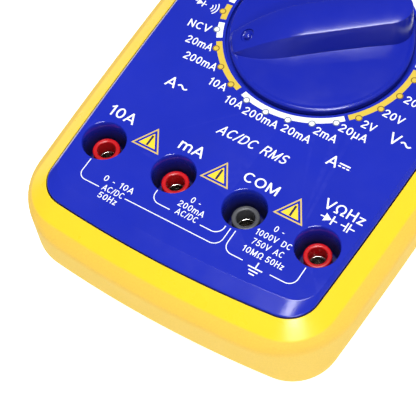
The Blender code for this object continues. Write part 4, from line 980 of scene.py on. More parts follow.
sections = []
for i in range(m):
    f, t = foot_line[i], top_line[i]
    nf, nt = inward(foot_line, i), inward(top_line, i)
    r_foot = math.hypot(*f)
    grow = max(0.0, min(1.0, (f[0] + 17.0) / 9.0))
    reach = min(0.35 + 3.0 * grow, max(0.12, (21.2 - r_foot) * 0.9 if f[0] > 12 else (22.0 - r_foot)))
    lift = 0.26 * reach / 3.35
    F3 = Vector((f[0], f[1], disc_height(r_foot) + lift))
    T3 = Vector((t[0], t[1], edge_height(t[0])))
    wall = (T3 - F3).length
    re = min(0.13, 0.3 * wall)
    out = Vector((f[0] - nf.x * reach, f[1] - nf.y * reach, 0.0))
    out.z = disc_height(math.hypot(out.x, out.y)) - 0.012
    mid = F3.lerp(out, 0.45)
    mid.z = disc_height(math.hypot(mid.x, mid.y)) - 0.004
    skirt = bezier(out, mid, F3, 8)
    inn = Vector((t[0] + nt.x * re, t[1] + nt.y * re, 0.0))
    inn.z = crown(inn.x, inn.y)
    sections.append(skirt + [F3.lerp(T3, k) for k in (0.08, 0.3, 0.5, 0.7)] + bezier(T3.lerp(F3, re / wall), T3, inn, 4)
                    + [Vector((t[0] + nt.x * d, t[1] + nt.y * d, crown(t[0] + nt.x * d, t[1] + nt.y * d)))
                       for d in (re + 0.25 * min(1.0, t[1] / 2 + 0.3), re + 0.55 * min(1.0, t[1] / 2 + 0.3))])

bm = bmesh.new()
depth = len(sections[0])
rows = []
for k in range(depth):
    upper = [Vector(sections[i][k]) for i in range(m)]
    ring = upper + [Vector((v.x, -v.y, v.z)) for v in reversed(upper[1:-1])]
    rows.append([bm.verts.new(DIAL + along * v.x + across * v.y + Vector((0, 0, v.z))) for v in ring])
below = [bm.verts.new((v.co.x, v.co.y, F + 0.5)) for v in rows[0]]
skin(bm, [below] + rows)
bm.faces.new(list(reversed(below)))
# crown: strips across between matched points
STRIPS = 10
inner_ring = rows[-1]
lines = []
for i in range(m):
    p = sections[i][-1]
    if i in (0, m - 1):
        lines.append([inner_ring[i]])
        continue
    mirror = inner_ring[len(inner_ring) - i]
    line = [inner_ring[i]]
    for k in range(1, STRIPS):
        b = p.y * (1 - 2 * k / STRIPS)
        line.append(bm.verts.new(DIAL + along * p.x + across * b + Vector((0, 0, crown(p.x, b)))))
    lines.append(line + [mirror])
for p, q in zip(lines, lines[1:]):
    for k in range(STRIPS):
        if len(p) == 1:
            bm.faces.new((p[0], q[k], q[k + 1]))
        elif len(q) == 1:
            bm.faces.new((p[k], q[0], p[k + 1]))
        else:
            bm.faces.new((p[k], q[k], q[k + 1], p[k + 1]))
bmesh.ops.recalc_face_normals(bm, faces=bm.faces)
handle = to_object(bm, "t_handle", None)

a_dot, b_dot = -17.65, -0.10
dot = DIAL + along * a_dot + across * b_dot
tilt = math.atan(crown(a_dot + 0.5, 0.0) - crown(a_dot - 0.5, 0.0))
dot_z = crown(a_dot, 0.0)
dot_place = Matrix.Translation((dot.x, dot.y, F + dot_z)) @ Matrix.Rotation(KNOB_ANGLE, 4, "Z") @ Matrix.Rotation(-tilt, 4, "Y")


def torus_cut(name, big, small, depth):
    bm = bmesh.new()
    rows = []
    for i in range(56):
        t = 2 * math.pi * i / 56
        rows.append([bm.verts.new(Vector(((big + small * math.cos(u)) * math.cos(t), (big + small * math.cos(u)) * math.sin(t), small * math.sin(u) + depth)))
                     for u in (2 * math.pi * j / 18 for j in range(18))])
    skin(bm, rows, closed=True)
    bmesh.ops.transform(bm, matrix=dot_place, verts=bm.verts)
    bmesh.ops.recalc_face_normals(bm, faces=bm.faces)
    return to_object(bm, name, None)


def cap_dome(name, radius, drop):
    bm = bmesh.new()
    bmesh.ops.create_uvsphere(bm, u_segments=48, v_segments=36, radius=radius)
    bmesh.ops.transform(bm, matrix=dot_place @ Matrix.Translation((0, 0, -drop)), verts=bm.verts)
    return to_object(bm, name, None)


socket = rod("t_socket", (0.0, DIAL_Y), HUB_RADIUS + 0.3, (F - 3.0, F + 5.0), "Z", 40)
carve(knob, [("UNION", handle), ("DIFFERENCE", torus_cut("t_ring", 1.32, 0.48, -0.20)), ("UNION", cap_dome("t_dome", 1.00, 0.58)),
             ("DIFFERENCE", socket)], angle=42.0)
show(knob, "selector", "blue_plastic", "knob")

# --------------------------------------------------------------------------------------------------------- buttons
for k, x in BUTTON_X.items():
    z = F + 1.6
    ob = stack("button_cap_" + k, BUTTON_RUBBER, (x, BUTTON_Y, 5.5, 3.0, 2.3),
               [(34.6, 0.0), (z - 0.62, 0.0), (z - 0.42, -0.05), (z - 0.24, -0.20), (z - 0.12, -0.46), (z - 0.06, -0.85), (z - 0.02, -1.6)], cap_mid=z)
    carve(ob, [("UNION", stack("t_flange", None, (x, BUTTON_Y, 6.6, 4.1, 1.5), [(34.2, 0.0), (35.2, 0.0)])),
               ("UNION", rod("t_stem", (x, BUTTON_Y), 1.5, (31.5, 34.8), "Z", 28))], angle=40.0)
    show(ob, k + "_button", "button_rubber", "button_" + k)

# ---------------------------------------------------------------------------------------------------------- window
ob = stack("display_window", LENS, (0.0, 52.0, 32.0, 18.5, 2.0), [(36.6, -0.1), (36.7, 0.0), (37.7, 0.0), (37.84, -0.06), (37.9, -0.2)])
show(ob, "case", "clear_lens", "lcd_window")

# ----------------------------------------------------------------------------------------------- letters and symbols
def arc(cx, cy, rx, ry, t0, t1, n=14):
    return [(cx + rx * math.cos(math.radians(t0 + (t1 - t0) * i / n)), cy + ry * math.sin(math.radians(t0 + (t1 - t0) * i / n)))
            for i in range(n + 1)]


# Stroke alphabet on a capital height of 1: width, open strokes, closed strokes
E = 0.085
GLYPHS = {
    "0": (0.62, [], [arc(0.31, 0.5, 0.225, 0.415, 0, 360, 28)[:-1]]),
    "1": (0.40, [[(0.27, 0.0), (0.27, 0.99)], [(0.27, 0.93), (0.20, 0.83), (0.05, 0.72)]], []),
    "2": (0.62, [arc(0.31, 0.69, 0.225, 0.225, 172, -32, 12) + [(0.36, 0.42), (0.16, 0.24), (0.10, E)], [(0.02, E), (0.60, E)]], []),
    "3": (0.62, [arc(0.30, 0.71, 0.20, 0.205, 165, -75, 12) + arc(0.30, 0.29, 0.225, 0.205, 75, -165, 12)], []),
    "4": (0.64, [[(0.46, 0.0), (0.46, 0.97)], [(0.46, 0.95), (0.05, 0.32)], [(0.02, 0.28), (0.63, 0.28)]], []),
    "5": (0.62, [[(0.57, 1 - E), (0.17, 1 - E), (0.11, 0.52)] + arc(0.30, 0.335, 0.235, 0.25, 128, -160, 16)], []),
    "6": (0.62, [[(0.53, 0.78)] + arc(0.33, 0.68, 0.21, 0.235, 30, 110, 6) + arc(0.36, 0.42, 0.275, 0.42, 130, 185, 6)],
          [arc(0.31, 0.315, 0.225, 0.235, 0, 360, 24)[:-1]]),
    "7": (0.60, [[(0.03, 1 - E), (0.53, 1 - E), (0.34, 0.52), (0.22, 0.0)]], []),
    "8": (0.62, [], [arc(0.31, 0.72, 0.19, 0.195, 0, 360, 24)[:-1], arc(0.31, 0.30, 0.225, 0.215, 0, 360, 24)[:-1]]),
    "9": (0.62, [[(0.09, 0.22)] + arc(0.29, 0.32, 0.21, 0.235, 210, 290, 6) + arc(0.26, 0.58, 0.275, 0.42, -50, 5, 6)],
          [arc(0.31, 0.685, 0.225, 0.235, 0, 360, 24)[:-1]]),
    "A": (0.72, [[(0.04, 0.0), (0.36, 0.92), (0.68, 0.0)], [(0.16, 0.30), (0.56, 0.30)]], []),
    "C": (0.68, [arc(0.38, 0.5, 0.295, 0.415, 44, 316, 24)], []),
    "D": (0.68, [], [[(E, E), (E, 1 - E), (0.30, 1 - E)] + arc(0.30, 0.5, 0.295, 0.415, 88, -88, 16) + [(0.30, E)]]),
    "E": (0.60, [[(E, 0.0), (E, 1.0)], [(E, 1 - E), (0.59, 1 - E)], [(E, 0.51), (0.54, 0.51)], [(E, E), (0.60, E)]], []),
    "F": (0.56, [[(E, 0.0), (E, 1.0)], [(E, 1 - E), (0.56, 1 - E)], [(E, 0.50), (0.48, 0.50)]], []),
    "H": (0.66, [[(E, 0.0), (E, 1.0)], [(0.575, 0.0), (0.575, 1.0)], [(E, 0.52), (0.575, 0.52)]], []),
    "L": (0.54, [[(E, 0.0), (E, 1.0)], [(E, E), (0.53, E)]], []),
    "M": (0.80, [[(E, 0.0), (E, 0.93), (0.40, 0.10), (0.715, 0.93), (0.715, 0.0)]], []),
    "N": (0.66, [[(E, 0.0), (E, 0.93), (0.575, 0.07), (0.575, 1.0)]], []),
    "O": (0.78, [], [arc(0.39, 0.5, 0.305, 0.415, 0, 360, 32)[:-1]]),
    "R": (0.68, [[(E, 0.0), (E, 1.0)], [(E, 1 - E), (0.36, 1 - E)] + arc(0.36, 0.70, 0.20, 0.215, 88, -88, 10) + [(E, 0.485)], [(0.36, 0.485), (0.61, 0.0)]], []),
    "S": (0.64, [arc(0.32, 0.71, 0.215, 0.205, 25, 250, 14) + arc(0.32, 0.29, 0.225, 0.205, 70, -160, 14)], []),
    "V": (0.68, [[(0.03, 1.0), (0.34, 0.08), (0.65, 1.0)]], []),
    "X": (0.66, [[(0.04, 1.0), (0.62, 0.0)], [(0.62, 1.0), (0.04, 0.0)]], []),
    "U": (0.68, [[(E, 1.0), (E, 0.36)] + arc(0.34, 0.345, 0.255, 0.26, 180, 360, 14) + [(0.595, 1.0)]], []),
    "m": (0.86, [[(0.075, 0.0), (0.075, 0.73)], [(0.075, 0.42)] + arc(0.2525, 0.47, 0.1775, 0.185, 170, 0, 10) + [(0.43, 0.0)],
                 [(0.43, 0.42)] + arc(0.6075, 0.47, 0.1775, 0.185, 170, 0, 10) + [(0.785, 0.0)]], []),
    "n": (0.52, [[(0.075, 0.0), (0.075, 0.73)], [(0.075, 0.42)] + arc(0.2575, 0.47, 0.1825, 0.185, 170, 0, 10) + [(0.44, 0.0)]], []),
    "k": (0.50, [[(0.075, 0.0), (0.075, 1.0)], [(0.43, 0.70), (0.10, 0.33)], [(0.20, 0.43), (0.45, 0.0)]], []),
    "z": (0.52, [[(0.04, 0.65), (0.44, 0.65), (0.08, 0.08), (0.49, 0.08)]], []),
    "u": (0.54, [[(0.075, 0.72), (0.075, -0.27)], [(0.075, 0.30)] + arc(0.265, 0.27, 0.19, 0.195, 180, 360, 12) + [(0.455, 0.72)],
                 [(0.455, 0.72), (0.455, 0.0)]], []),
    "W": (0.80, [[(0.03, 0.07), (0.25, 0.07), (0.25, 0.15)] + arc(0.40, 0.54, 0.295, 0.385, 238, -58, 24) + [(0.55, 0.15), (0.55, 0.07), (0.77, 0.07)]], []),
    "/": (0.34, [[(0.03, 0.0), (0.31, 1.0)]], []),
    "-": (0.34, [[(0.0, 0.40), (0.32, 0.40)]], []),
    "~": (0.78, [[(0.04 + 0.70 * i / 16, 0.42 + 0.13 * math.sin(2 * math.pi * i / 16)) for i in range(17)]], []),
    "=": (0.78, [[(0.0, 0.56), (0.78, 0.56)], [(0.0, 0.32), (0.20, 0.32)], [(0.29, 0.32), (0.49, 0.32)], [(0.58, 0.32), (0.78, 0.32)]], []),
    "+": (0.50, [[(0.0, 0.45), (0.48, 0.45)], [(0.24, 0.21), (0.24, 0.69)]], []),
    ".": (0.18, [[(0.0, 0.08), (0.16, 0.08)]], []),
    "o": (0.30, [], [arc(0.15, 0.84, 0.10, 0.11, 0, 360, 16)[:-1]]),
}
THIN = {"~": 0.15, "=": 0.13, "+": 0.14, "o": 0.11, "-": 0.15}


def stroke_loops(opens, closed, thick, cell):
    """Outline loops of the union of flat-ended strokes: the zero line of their distance field on a fine grid."""
    pts = [p for st in opens + closed for p in st]
    x0, x1 = min(p[0] for p in pts) - thick, max(p[0] for p in pts) + thick
    y0, y1 = min(p[1] for p in pts) - thick, max(p[1] for p in pts) + thick
    gx, gy = np.meshgrid(np.arange(x0, x1 + cell, cell), np.arange(y0, y1 + cell, cell), indexing="ij")
    field = np.full(gx.shape, 9.0)
    h = thick / 2
    for group, loop in ((opens, False), (closed, True)):
        for st in group:
            segs = list(zip(st, st[1:])) + ([(st[-1], st[0])] if loop else [])
            for (ax, ay), (bx, by) in segs:
                ln = math.hypot(bx - ax, by - ay)
                if ln < 1e-9:
                    continue
                ux, uy = (bx - ax) / ln, (by - ay) / ln
                u = (gx - ax) * ux + (gy - ay) * uy
                v = np.abs(-(gx - ax) * uy + (gy - ay) * ux) - h
                w = np.abs(u - ln / 2) - ln / 2
                d = np.hypot(np.maximum(v, 0), np.maximum(w, 0)) + np.minimum(np.maximum(v, w), 0)
                field = np.minimum(field, d)
            for px, py in (st if loop else st[1:-1]):
                field = np.minimum(field, np.hypot(gx - px, gy - py) - h)
    field[np.abs(field) < 1e-7] = 1e-7
    inside = field < 0
    nx, ny = field.shape
    link = {}

    def cross(i0, j0, i1, j1):
        a, b = field[i0, j0], field[i1, j1]
        t = a / (a - b)
        return (gx[i0, j0] + (gx[i1, j1] - gx[i0, j0]) * t, gy[i0, j0] + (gy[i1, j1] - gy[i0, j0]) * t)

    where = {}
    for i in range(nx - 1):
        for j in range(ny - 1):
            c = (inside[i, j], inside[i + 1, j], inside[i + 1, j + 1], inside[i, j + 1])
            if all(c) or not any(c):
                continue
            edges = [("h", i, j), ("v", i + 1, j), ("h", i, j + 1), ("v", i, j)]
            ends = [((i, j), (i + 1, j)), ((i + 1, j), (i + 1, j + 1)), ((i, j + 1), (i + 1, j + 1)), ((i, j), (i, j + 1))]
            cut = [k for k in range(4) if c[k] != c[(k + 1) % 4]]
            for k in cut:
                (p, q), (r, w) = ends[k]
                where[edges[k]] = cross(p, q, r, w)
            pairs = [(cut[0], cut[1])] if len(cut) == 2 else ([(0, 1), (2, 3)] if c[1] else [(3, 0), (1, 2)])
            for a, b in pairs:
                link.setdefault(edges[a], []).append(edges[b])
                link.setdefault(edges[b], []).append(edges[a])
    loops, left = [], set(link)
    while left:
        start = next(iter(sorted(left)))
        path, at, prev = [], start, None
        while True:
            path.append(where[at])
            left.discard(at)
            nxt = [e for e in link[at] if e != prev]
            step = next((e for e in nxt if e in left), None)
            if step is None:
                break
            prev, at = at, step
        if len(path) > 4:
            loops.append(thin_out(path, cell * 0.10))
    return loops


def thin_out(path, tol):
    """Drops points that lie within tol of the line between their neighbours (closed path)."""
    def run(lo, hi):
        (ax, ay), (bx, by) = path[lo], path[hi % len(path)]
        ln = math.hypot(bx - ax, by - ay) or 1e-9
        best, at = 0.0, None
        for k in range(lo + 1, hi):
            px, py = path[k]
            d = abs((bx - ax) * (ay - py) - (ax - px) * (by - ay)) / ln
            if d > best:
                best, at = d, k
        if best > tol:
            return run(lo, at) + run(at, hi)
        return [path[lo]]
    half_way = len(path) // 2
    return run(0, half_way) + run(half_way, len(path))


LETTERS = {}


def letter(ch, weight):
    if (ch, weight) not in LETTERS:
        w, opens, closed = GLYPHS[ch]
        LETTERS[ch, weight] = stroke_loops(opens, closed, min(THIN.get(ch, weight), weight), 0.026)
    return LETTERS[ch, weight]


def text_loops(word, x0, x1, base, cap, slant=0.0, turn=0.0, gap=0.13, space=0.42, weight=0.128):
    """Loops of a word set between x0 and x1 on a base line, optionally slanted and turned about its middle."""
    widths = [space if ch == " " else GLYPHS[ch][0] for ch in word]
    total = sum(widths) + gap * (len(word) - 1)
    kx = (x1 - x0) / total
    mid = Vector(((x0 + x1) / 2, base + cap / 2))
    ct, st = math.cos(math.radians(turn)), math.sin(math.radians(turn))
    loops, pen = [], 0.0
    for ch, w in zip(word, widths):
        if ch != " ":
            for lp in letter(ch, weight):
                out = []
                for px, py in lp:
                    x = x0 + (pen + px) * kx + slant * py * cap - slant * cap / 2
                    y = base + py * cap
                    dx, dy = x - mid.x, y - mid.y
                    out.append((mid.x + dx * ct - dy * st, mid.y + dx * st + dy * ct))
                loops.append(out)
        pen += w + gap
    return loops


def printed(name, mat, loops, low, high, body="case", slot="white_plastic", mould=None):
    """Closed thin ink layer: loops (inner loops are holes) filled and given a thickness from low to high."""
    cu = bpy.data.curves.new(name, "CURVE")
    cu.dimensions = "2D"
    cu.fill_mode = "BOTH"
    cu.extrude = (high - low) / 2
    for lp in loops:
        sp = cu.splines.new("POLY")
        sp.points.add(len(lp) - 1)
        for p, (x, y) in zip(sp.points, lp):
            p.co = (x, y, 0.0, 1.0)
        sp.use_cyclic_u = True
    tmp = bpy.data.objects.new(name + "_curve", cu)
    scene.collection.objects.link(tmp)
    bpy.context.view_layer.update()
    me = bpy.data.meshes.new_from_object(tmp.evaluated_get(bpy.context.evaluated_depsgraph_get()))
    bpy.data.objects.remove(tmp, do_unlink=True)
    bpy.data.curves.remove(cu)
    bm = bmesh.new()
    bm.from_mesh(me)
    bpy.data.meshes.remove(me)
    bmesh.ops.remove_doubles(bm, verts=bm.verts, dist=1e-5)
    bmesh.ops.dissolve_degenerate(bm, edges=bm.edges, dist=1e-6)
    for v in bm.verts:
        v.co.z += (low + high) / 2
        if mould:
            v.co = mould(v.co)
    bmesh.ops.recalc_face_normals(bm, faces=bm.faces)
    ob = to_object(bm, name, mat, 30.0)
    return show(ob, body, slot)


def band(points, width):
    """A closed outline round an open centre line."""
    left, right = [], []
    for i, p in enumerate(points):
        a, b = Vector(points[max(0, i - 1)]), Vector(points[min(len(points) - 1, i + 1)])
        t = (b - a).normalized()
        nrm = Vector((-t.y, t.x)) * width / 2
        left.append((p[0] + nrm.x, p[1] + nrm.y))
        right.append((p[0] - nrm.x, p[1] - nrm.y))
    return left + right[::-1]


def turn_corner(p, q, r, radius, n=8):
    """The line p-q-r with its corner rounded by an arc."""
    p, q, r = Vector(p), Vector(q), Vector(r)
    a, b = (p - q).normalized(), (r - q).normalized()
    ang = a.angle(b)
    t = radius / math.tan(ang / 2)
    c = q + (a + b).normalized() * (radius / math.sin(ang / 2))
    s0, s1 = q + a * t - c, q + b * t - c
    t0, t1 = math.atan2(s0.y, s0.x), math.atan2(s1.y, s1.x)
    d = (t1 - t0 + math.pi) % (2 * math.pi) - math.pi
    mid = [(c.x + radius * math.cos(t0 + d * i / n), c.y + radius * math.sin(t0 + d * i / n)) for i in range(n + 1)]
    return [tuple(p)] + mid + [tuple(r)]


LOW, HIGH = FACE_Z - 0.012, FACE_Z + 0.030

# terminal names and function names
words = [
    ("10A", -32.40, -25.21, -59.25, 3.03), ("mA", -12.73, -6.24, -59.27, 3.04), ("COM", 4.75, 13.84, -59.47, 2.74),
    ("VWHz", 24.21, 34.50, -56.65, 2.74), ("A~", -25.25, -19.46, -45.67, 3.04), ("A=", 18.89, 24.58, -46.28, 3.03),
    ("V~", 28.04, 33.74, -34.36, 3.13),
]
loops = []
for w, x0, x1, y, cap in words:
    loops += text_loops(w, x0, x1, y, cap, gap=0.085, weight=0.118)
loops += text_loops("AC/DC RMS", -6.96, 11.32, -51.35, 2.74, slant=0.25, gap=0.10, weight=0.118)
loops += text_loops("V=", 26.6, 32.4, 4.6, 3.0) + text_loops("W", -31.4, -28.6, 12.4, 2.9)
printed("print_function_names", INK_WHITE, loops, LOW, HIGH)

# range numbers round the dial
STEP = 360.0 / 28
ANGLES = [-168.7 + 12.877 * k + {4: 0.3, 5: 1.0, 6: 1.0, 7: 1.0, 8: 1.0, 9: 0.8}.get(k, 0.0) for k in range(14)] + [-1.3 + STEP * 1.004 * k for k in range(1, 15)]
loops = []
for w, x0, x1, y, turn in (
        ("NCV", -30.20, -24.41, -28.07, 5.0), ("20mA", -27.99, -21.00, -32.46, 4.0), ("200mA", -25.78, -16.99, -36.87, 2.0),
        ("10A", -16.48, -11.79, -40.59, 0.0), ("10A", -10.38, -5.79, -43.14, 0.0), ("200mA", -4.99, 4.20, -43.82, 0.0),
        ("20mA", 5.30, 12.79, -43.63, 0.0), ("2mA", 12.18, 17.97, -40.60, 0.0), ("20uA", 16.77, 23.96, -37.09, 0.0),
        ("2V", 20.75, 24.15, -33.67, 0.0), ("20V", 23.53, 28.73, -28.68, -3.0), ("200V", 25.95, 33.0, -23.02, -2.0),
        ("750V", 26.9, 33.9, -17.2, 0.0)):
    loops += text_loops(w, x0, x1, y, 2.25, turn=turn)
upper = ("1000V", "200V", "20V", "2V", "200mV", "Hz", "OFF", "20MW", "2MW", "200kW", "20kW", "2kW", "200W", "oC")
for w, t in zip(upper, ANGLES[14:]):
    c, q = math.cos(math.radians(t)), math.sin(math.radians(t))
    width = (sum(GLYPHS[ch][0] for ch in w) + 0.13 * (len(w) - 1)) * 2.0
    width = min(width, 7.2)
    r = 27.4
    x, y = r * c, DIAL_Y + r * q
    cx = x + (width / 2 + 0.1) * c
    cy = y + 1.15 * q
    loops += text_loops(w, cx - width / 2, cx + width / 2, cy - 1.1, 2.2)
printed("print_dial_numbers", INK_WHITE, loops, LOW, HIGH)

# small range notes beside the jacks: plain numbers and units
loops = []
for w, cx, cy, width in (
        ("0 - 10A", -18.67, -74.32, 8.0), ("AC/DC", -18.75, -76.57, 5.6), ("50Hz", -18.86, -78.72, 5.0),
        ("0 -", -0.9, -69.44, 2.6), ("200mA", -0.85, -71.55, 6.8), ("AC/DC", -0.8, -73.60, 5.6),
        ("0 -", 19.25, -66.62, 2.6), ("1000V DC", 19.26, -69.16, 9.0), ("750V AC", 19.27, -71.70, 8.0), ("10MW", 17.0, -74.24, 5.2), ("50Hz", 22.6, -74.24, 4.6)):
    loops += text_loops(w, cx - width / 2, cx + width / 2, cy - 0.82, 1.64, weight=0.118)
printed("print_range_notes", INK_WHITE, loops, LOW, HIGH)

# brackets that join the jacks
W = 0.21
lines = [
    turn_corner((-28.27, -71.67), (-28.27, -77.05), (-22.36, -77.05), 1.9),
    turn_corner((-15.37, -76.87), (9.53, -76.87), (9.53, -71.50), 2.3),
    turn_corner((-10.20, -71.20), (-10.20, -74.18), (-5.00, -74.18), 2.1),
    turn_corner((3.09, -74.19), (8.23, -74.19), (8.23, -71.50), 2.2),
    turn_corner((10.83, -71.50), (10.83, -77.10), (16.09, -77.10), 2.2),
    turn_corner((23.18, -77.28), (29.05, -77.28), (29.05, -71.81), 2.2),
]
printed("print_brackets", INK_WHITE, [band(ln, W) for ln in lines], LOW, HIGH)

# symbols: earth, diode, capacitor, diode with sound waves
sym, t = [], 0.30
sym.append(band([(19.58, -75.9), (19.58, -77.44)], t))
sym.append(band([(17.78, -77.58), (21.42, -77.58)], t))
sym.append(band([(18.39, -78.38), (20.72, -78.38)], t))
sym.append(band([(18.89, -79.18), (20.29, -79.18)], t))


def diode(x, y, k):
    return [band([(x, y), (x + 0.95 * k, y)], 0.28 * k), [(x + 0.96 * k, y + 1.1 * k), (x + 0.96 * k, y - 1.1 * k), (x + 2.75 * k, y)],
            band([(x + 2.98 * k, y - 1.2 * k), (x + 2.98 * k, y + 1.2 * k)], 0.36 * k), band([(x + 3.18 * k, y), (x + 4.1 * k, y)], 0.28 * k)]


sym += diode(25.02, -58.55, 1.0)
sym += [band([(30.1, -58.55), (31.3, -58.55)], 0.28), band([(31.47, -59.75), (31.47, -57.35)], 0.32),
        band([(32.17, -59.75), (32.17, -57.35)], 0.32), band([(32.35, -58.55), (33.6, -58.55)], 0.28)]
sym += diode(-32.4, -20.75, 0.78)
for k, r in enumerate((1.0, 1.75, 2.5)):
    sym.append(band([(-28.6 + r * math.cos(math.radians(a)), -20.75 + r * math.sin(math.radians(a))) for a in range(-42, 43, 12)], 0.26))
printed("print_symbols", INK_WHITE, sym, LOW, HIGH)

# dial arcs and position dots
def sector(r0, r1, a0, a1):
    n = max(3, int(abs(a1 - a0) / 1.5))
    t = [math.radians(a0 + (a1 - a0) * i / n) for i in range(n + 1)]
    return [(r1 * math.cos(u), DIAL_Y + r1 * math.sin(u)) for u in t] + [(r0 * math.cos(u), DIAL_Y + r0 * math.sin(u)) for u in reversed(t)]


R0, R1 = 23.68, 25.15
YELLOW_ARCS = ((-174.3, -163.4), (-147.6, -111.9), (-45.0, 4.9), (95.2, 171.6))
WHITE_ARCS = ((-187.0, -176.3), (-161.0, -150.2), (-107.9, -47.2), (6.9, 69.0), (71.0, 81.5))
printed("dial_arcs_yellow", INK_YELLOW, [sector(R0, R1, *a) for a in YELLOW_ARCS], LOW, HIGH, slot="yellow_plastic")
printed("dial_arcs_white", INK_WHITE, [sector(R0, R1, *a) for a in WHITE_ARCS], LOW, HIGH)


def spot(angle, r, radius, n=24):
    c = (r * math.cos(math.radians(angle)), DIAL_Y + r * math.sin(math.radians(angle)))
    return [(c[0] + radius * math.cos(2 * math.pi * i / n), c[1] + radius * math.sin(2 * math.pi * i / n)) for i in range(n)]


def tone(a):
    for lo, hi in YELLOW_ARCS:
        if lo <= a <= hi or lo <= a - 360 <= hi:
            return "y"
    return "w"


RD = 25.26
yel = [a for a in ANGLES if tone(a) == "y"]
whi = [a for a in ANGLES if tone(a) == "w"]
printed("dial_dot_rings_yellow", INK_RING_Y, [spot(a, RD, 0.86) for a in yel], HIGH - 0.004, HIGH + 0.012, slot="yellow_plastic")
printed("dial_dot_rings_white", INK_RING_W, [spot(a, RD, 0.86) for a in whi], HIGH - 0.004, HIGH + 0.012)
printed("dial_dots_yellow", INK_YELLOW, [spot(a, RD, 0.61) for a in yel], HIGH + 0.008, HIGH + 0.024, slot="yellow_plastic")
printed("dial_dots_white", INK_WHITE, [spot(a, RD, 0.61) for a in whi], HIGH + 0.008, HIGH + 0.024)

# plain yellow triangles between the jacks, each with one plain bar
def triangle(apex, left, right, inset):
    p = [Vector(apex), Vector(left), Vector(right)]
    out = []
    for i in range(3):
        a, b, c = p[i - 1], p[i], p[(i + 1) % 3]
        u, v = (a - b).normalized(), (c - b).normalized()
        h = u.angle(v) / 2
        q = b + (u + v).normalized() * (inset / math.sin(h))
        out.append((q.x, q.y))
    return out


TRIS = [((-19.20, -56.95), (-22.85, -63.2), (-15.35, -63.2)), ((-0.33, -56.95), (-4.05, -63.2), (3.48, -63.2)),
        ((19.13, -56.95), (15.35, -63.2), (22.95, -63.2))]
rim, fill, mark = [], [], []
for ap, le, ri in TRIS:
    rim += [triangle(ap, le, ri, 0.0), triangle(ap, le, ri, 0.34)]
    fill.append(triangle(ap, le, ri, 0.86))
    cx = ap[0]
    mark.append([(cx - 0.27, -59.3), (cx - 0.27, -62.2), (cx + 0.27, -62.2), (cx + 0.27, -59.3)])
printed("triangle_rims", INK_TAN, rim, LOW, HIGH, slot="yellow_plastic")
printed("triangle_fills", INK_SIGN, fill, LOW, HIGH, slot="yellow_plastic")
for i, lp in enumerate(mark):
    printed("triangle_mark_%d" % (i + 1), INK_NAVY, [lp], HIGH - 0.006, HIGH + 0.012, slot="black_plastic")

# words beside the buttons
loops = []
for w, x in (("SEL", -20.0), ("HOLD", 0.0)):
    width = 1.55 * len(w)
    loops += text_loops(w, x - width / 2, x + width / 2, 20.0 - 0.9, 1.7)
c = (20.0, 20.0)
loops.append([(c[0] + 0.55 * math.cos(math.radians(a)), c[1] + 0.55 * math.sin(math.radians(a))) for a in range(0, 360, 20)])
for a in range(0, 360, 45):
    u = Vector((math.cos(math.radians(a)), math.sin(math.radians(a))))
    loops.append(band([(c[0] + 0.80 * u.x, c[1] + 0.80 * u.y), (c[0] + 1.25 * u.x, c[1] + 1.25 * u.y)], 0.22))
printed("print_button_names", INK_WHITE, loops, LOW, HIGH)

# display: black window border and the digits of an idle reading
frame_out = rrect(0.0, 52.0, 31.6, 18.1, 1.8)
frame_in = rrect(0.0, 52.0, 26.2, 13.2, 1.0)
printed("window_border", INK_BLACK, [frame_out, frame_in], 36.46, 36.56, slot="black_plastic")


def segment_digit(x, y, h, which):
    w, t, g, lean = h * 0.52, h * 0.115, h * 0.018, 0.10
    sk = lambda px, py: (x + px + lean * py, y + py)
    m2 = h / 2
    seg = {
        "a": [(t * 0.3 + g, h), (w - t * 0.3 - g, h), (w - t - g, h - t), (t + g, h - t)],
        "b": [(w, h - t * 0.3 - g), (w, m2 + g), (w - t * 0.5, m2 + g), (w - t, m2 + t * 0.5 + g), (w - t, h - t - g)],
        "c": [(w, m2 - g), (w, t * 0.3 + g), (w - t, t + g), (w - t, m2 - t * 0.5 - g), (w - t * 0.5, m2 - g)],
        "d": [(t + g, t), (w - t - g, t), (w - t * 0.3 - g, 0), (t * 0.3 + g, 0)],
        "e": [(0, m2 - g), (t * 0.5, m2 - g), (t, m2 - t * 0.5 - g), (t, t + g), (0, t * 0.3 + g)],
        "f": [(0, h - t * 0.3 - g), (t, h - t - g), (t, m2 + t * 0.5 + g), (t * 0.5, m2 + g), (0, m2 + g)],
        "g": [(t * 0.55 + g, m2), (t + g, m2 + t / 2), (w - t - g, m2 + t / 2), (w - t * 0.55 - g, m2), (w - t - g, m2 - t / 2), (t + g, m2 - t / 2)],
    }
    return [[sk(*p) for p in seg[k]] for k in which]


loops = []
for i in range(4):
    loops += segment_digit(-20.5 + 10.2 * i, 43.2, 14.5, "abcdef")
for i in (0, 1, 2, 3):
    if i == 0:
        x = -20.5 + 10.2 * i + 8.7
        loops.append([(x, 43.2), (x + 1.3, 43.2), (x + 1.4, 44.5), (x + 0.1, 44.5)])
loops += text_loops("V", 21.2, 23.6, 43.4, 3.4) + text_loops("AC", 20.6, 24.0, 55.6, 2.0)
for k in range(41):
    x = -21.0 + k
    loops.append(band([(x, 61.0), (x, 62.6 if k % 10 == 0 else (62.2 if k % 5 == 0 else 61.8))], 0.22))
printed("display_digits", INK_BLACK, loops, 34.905, 34.935, slot="black_plastic")

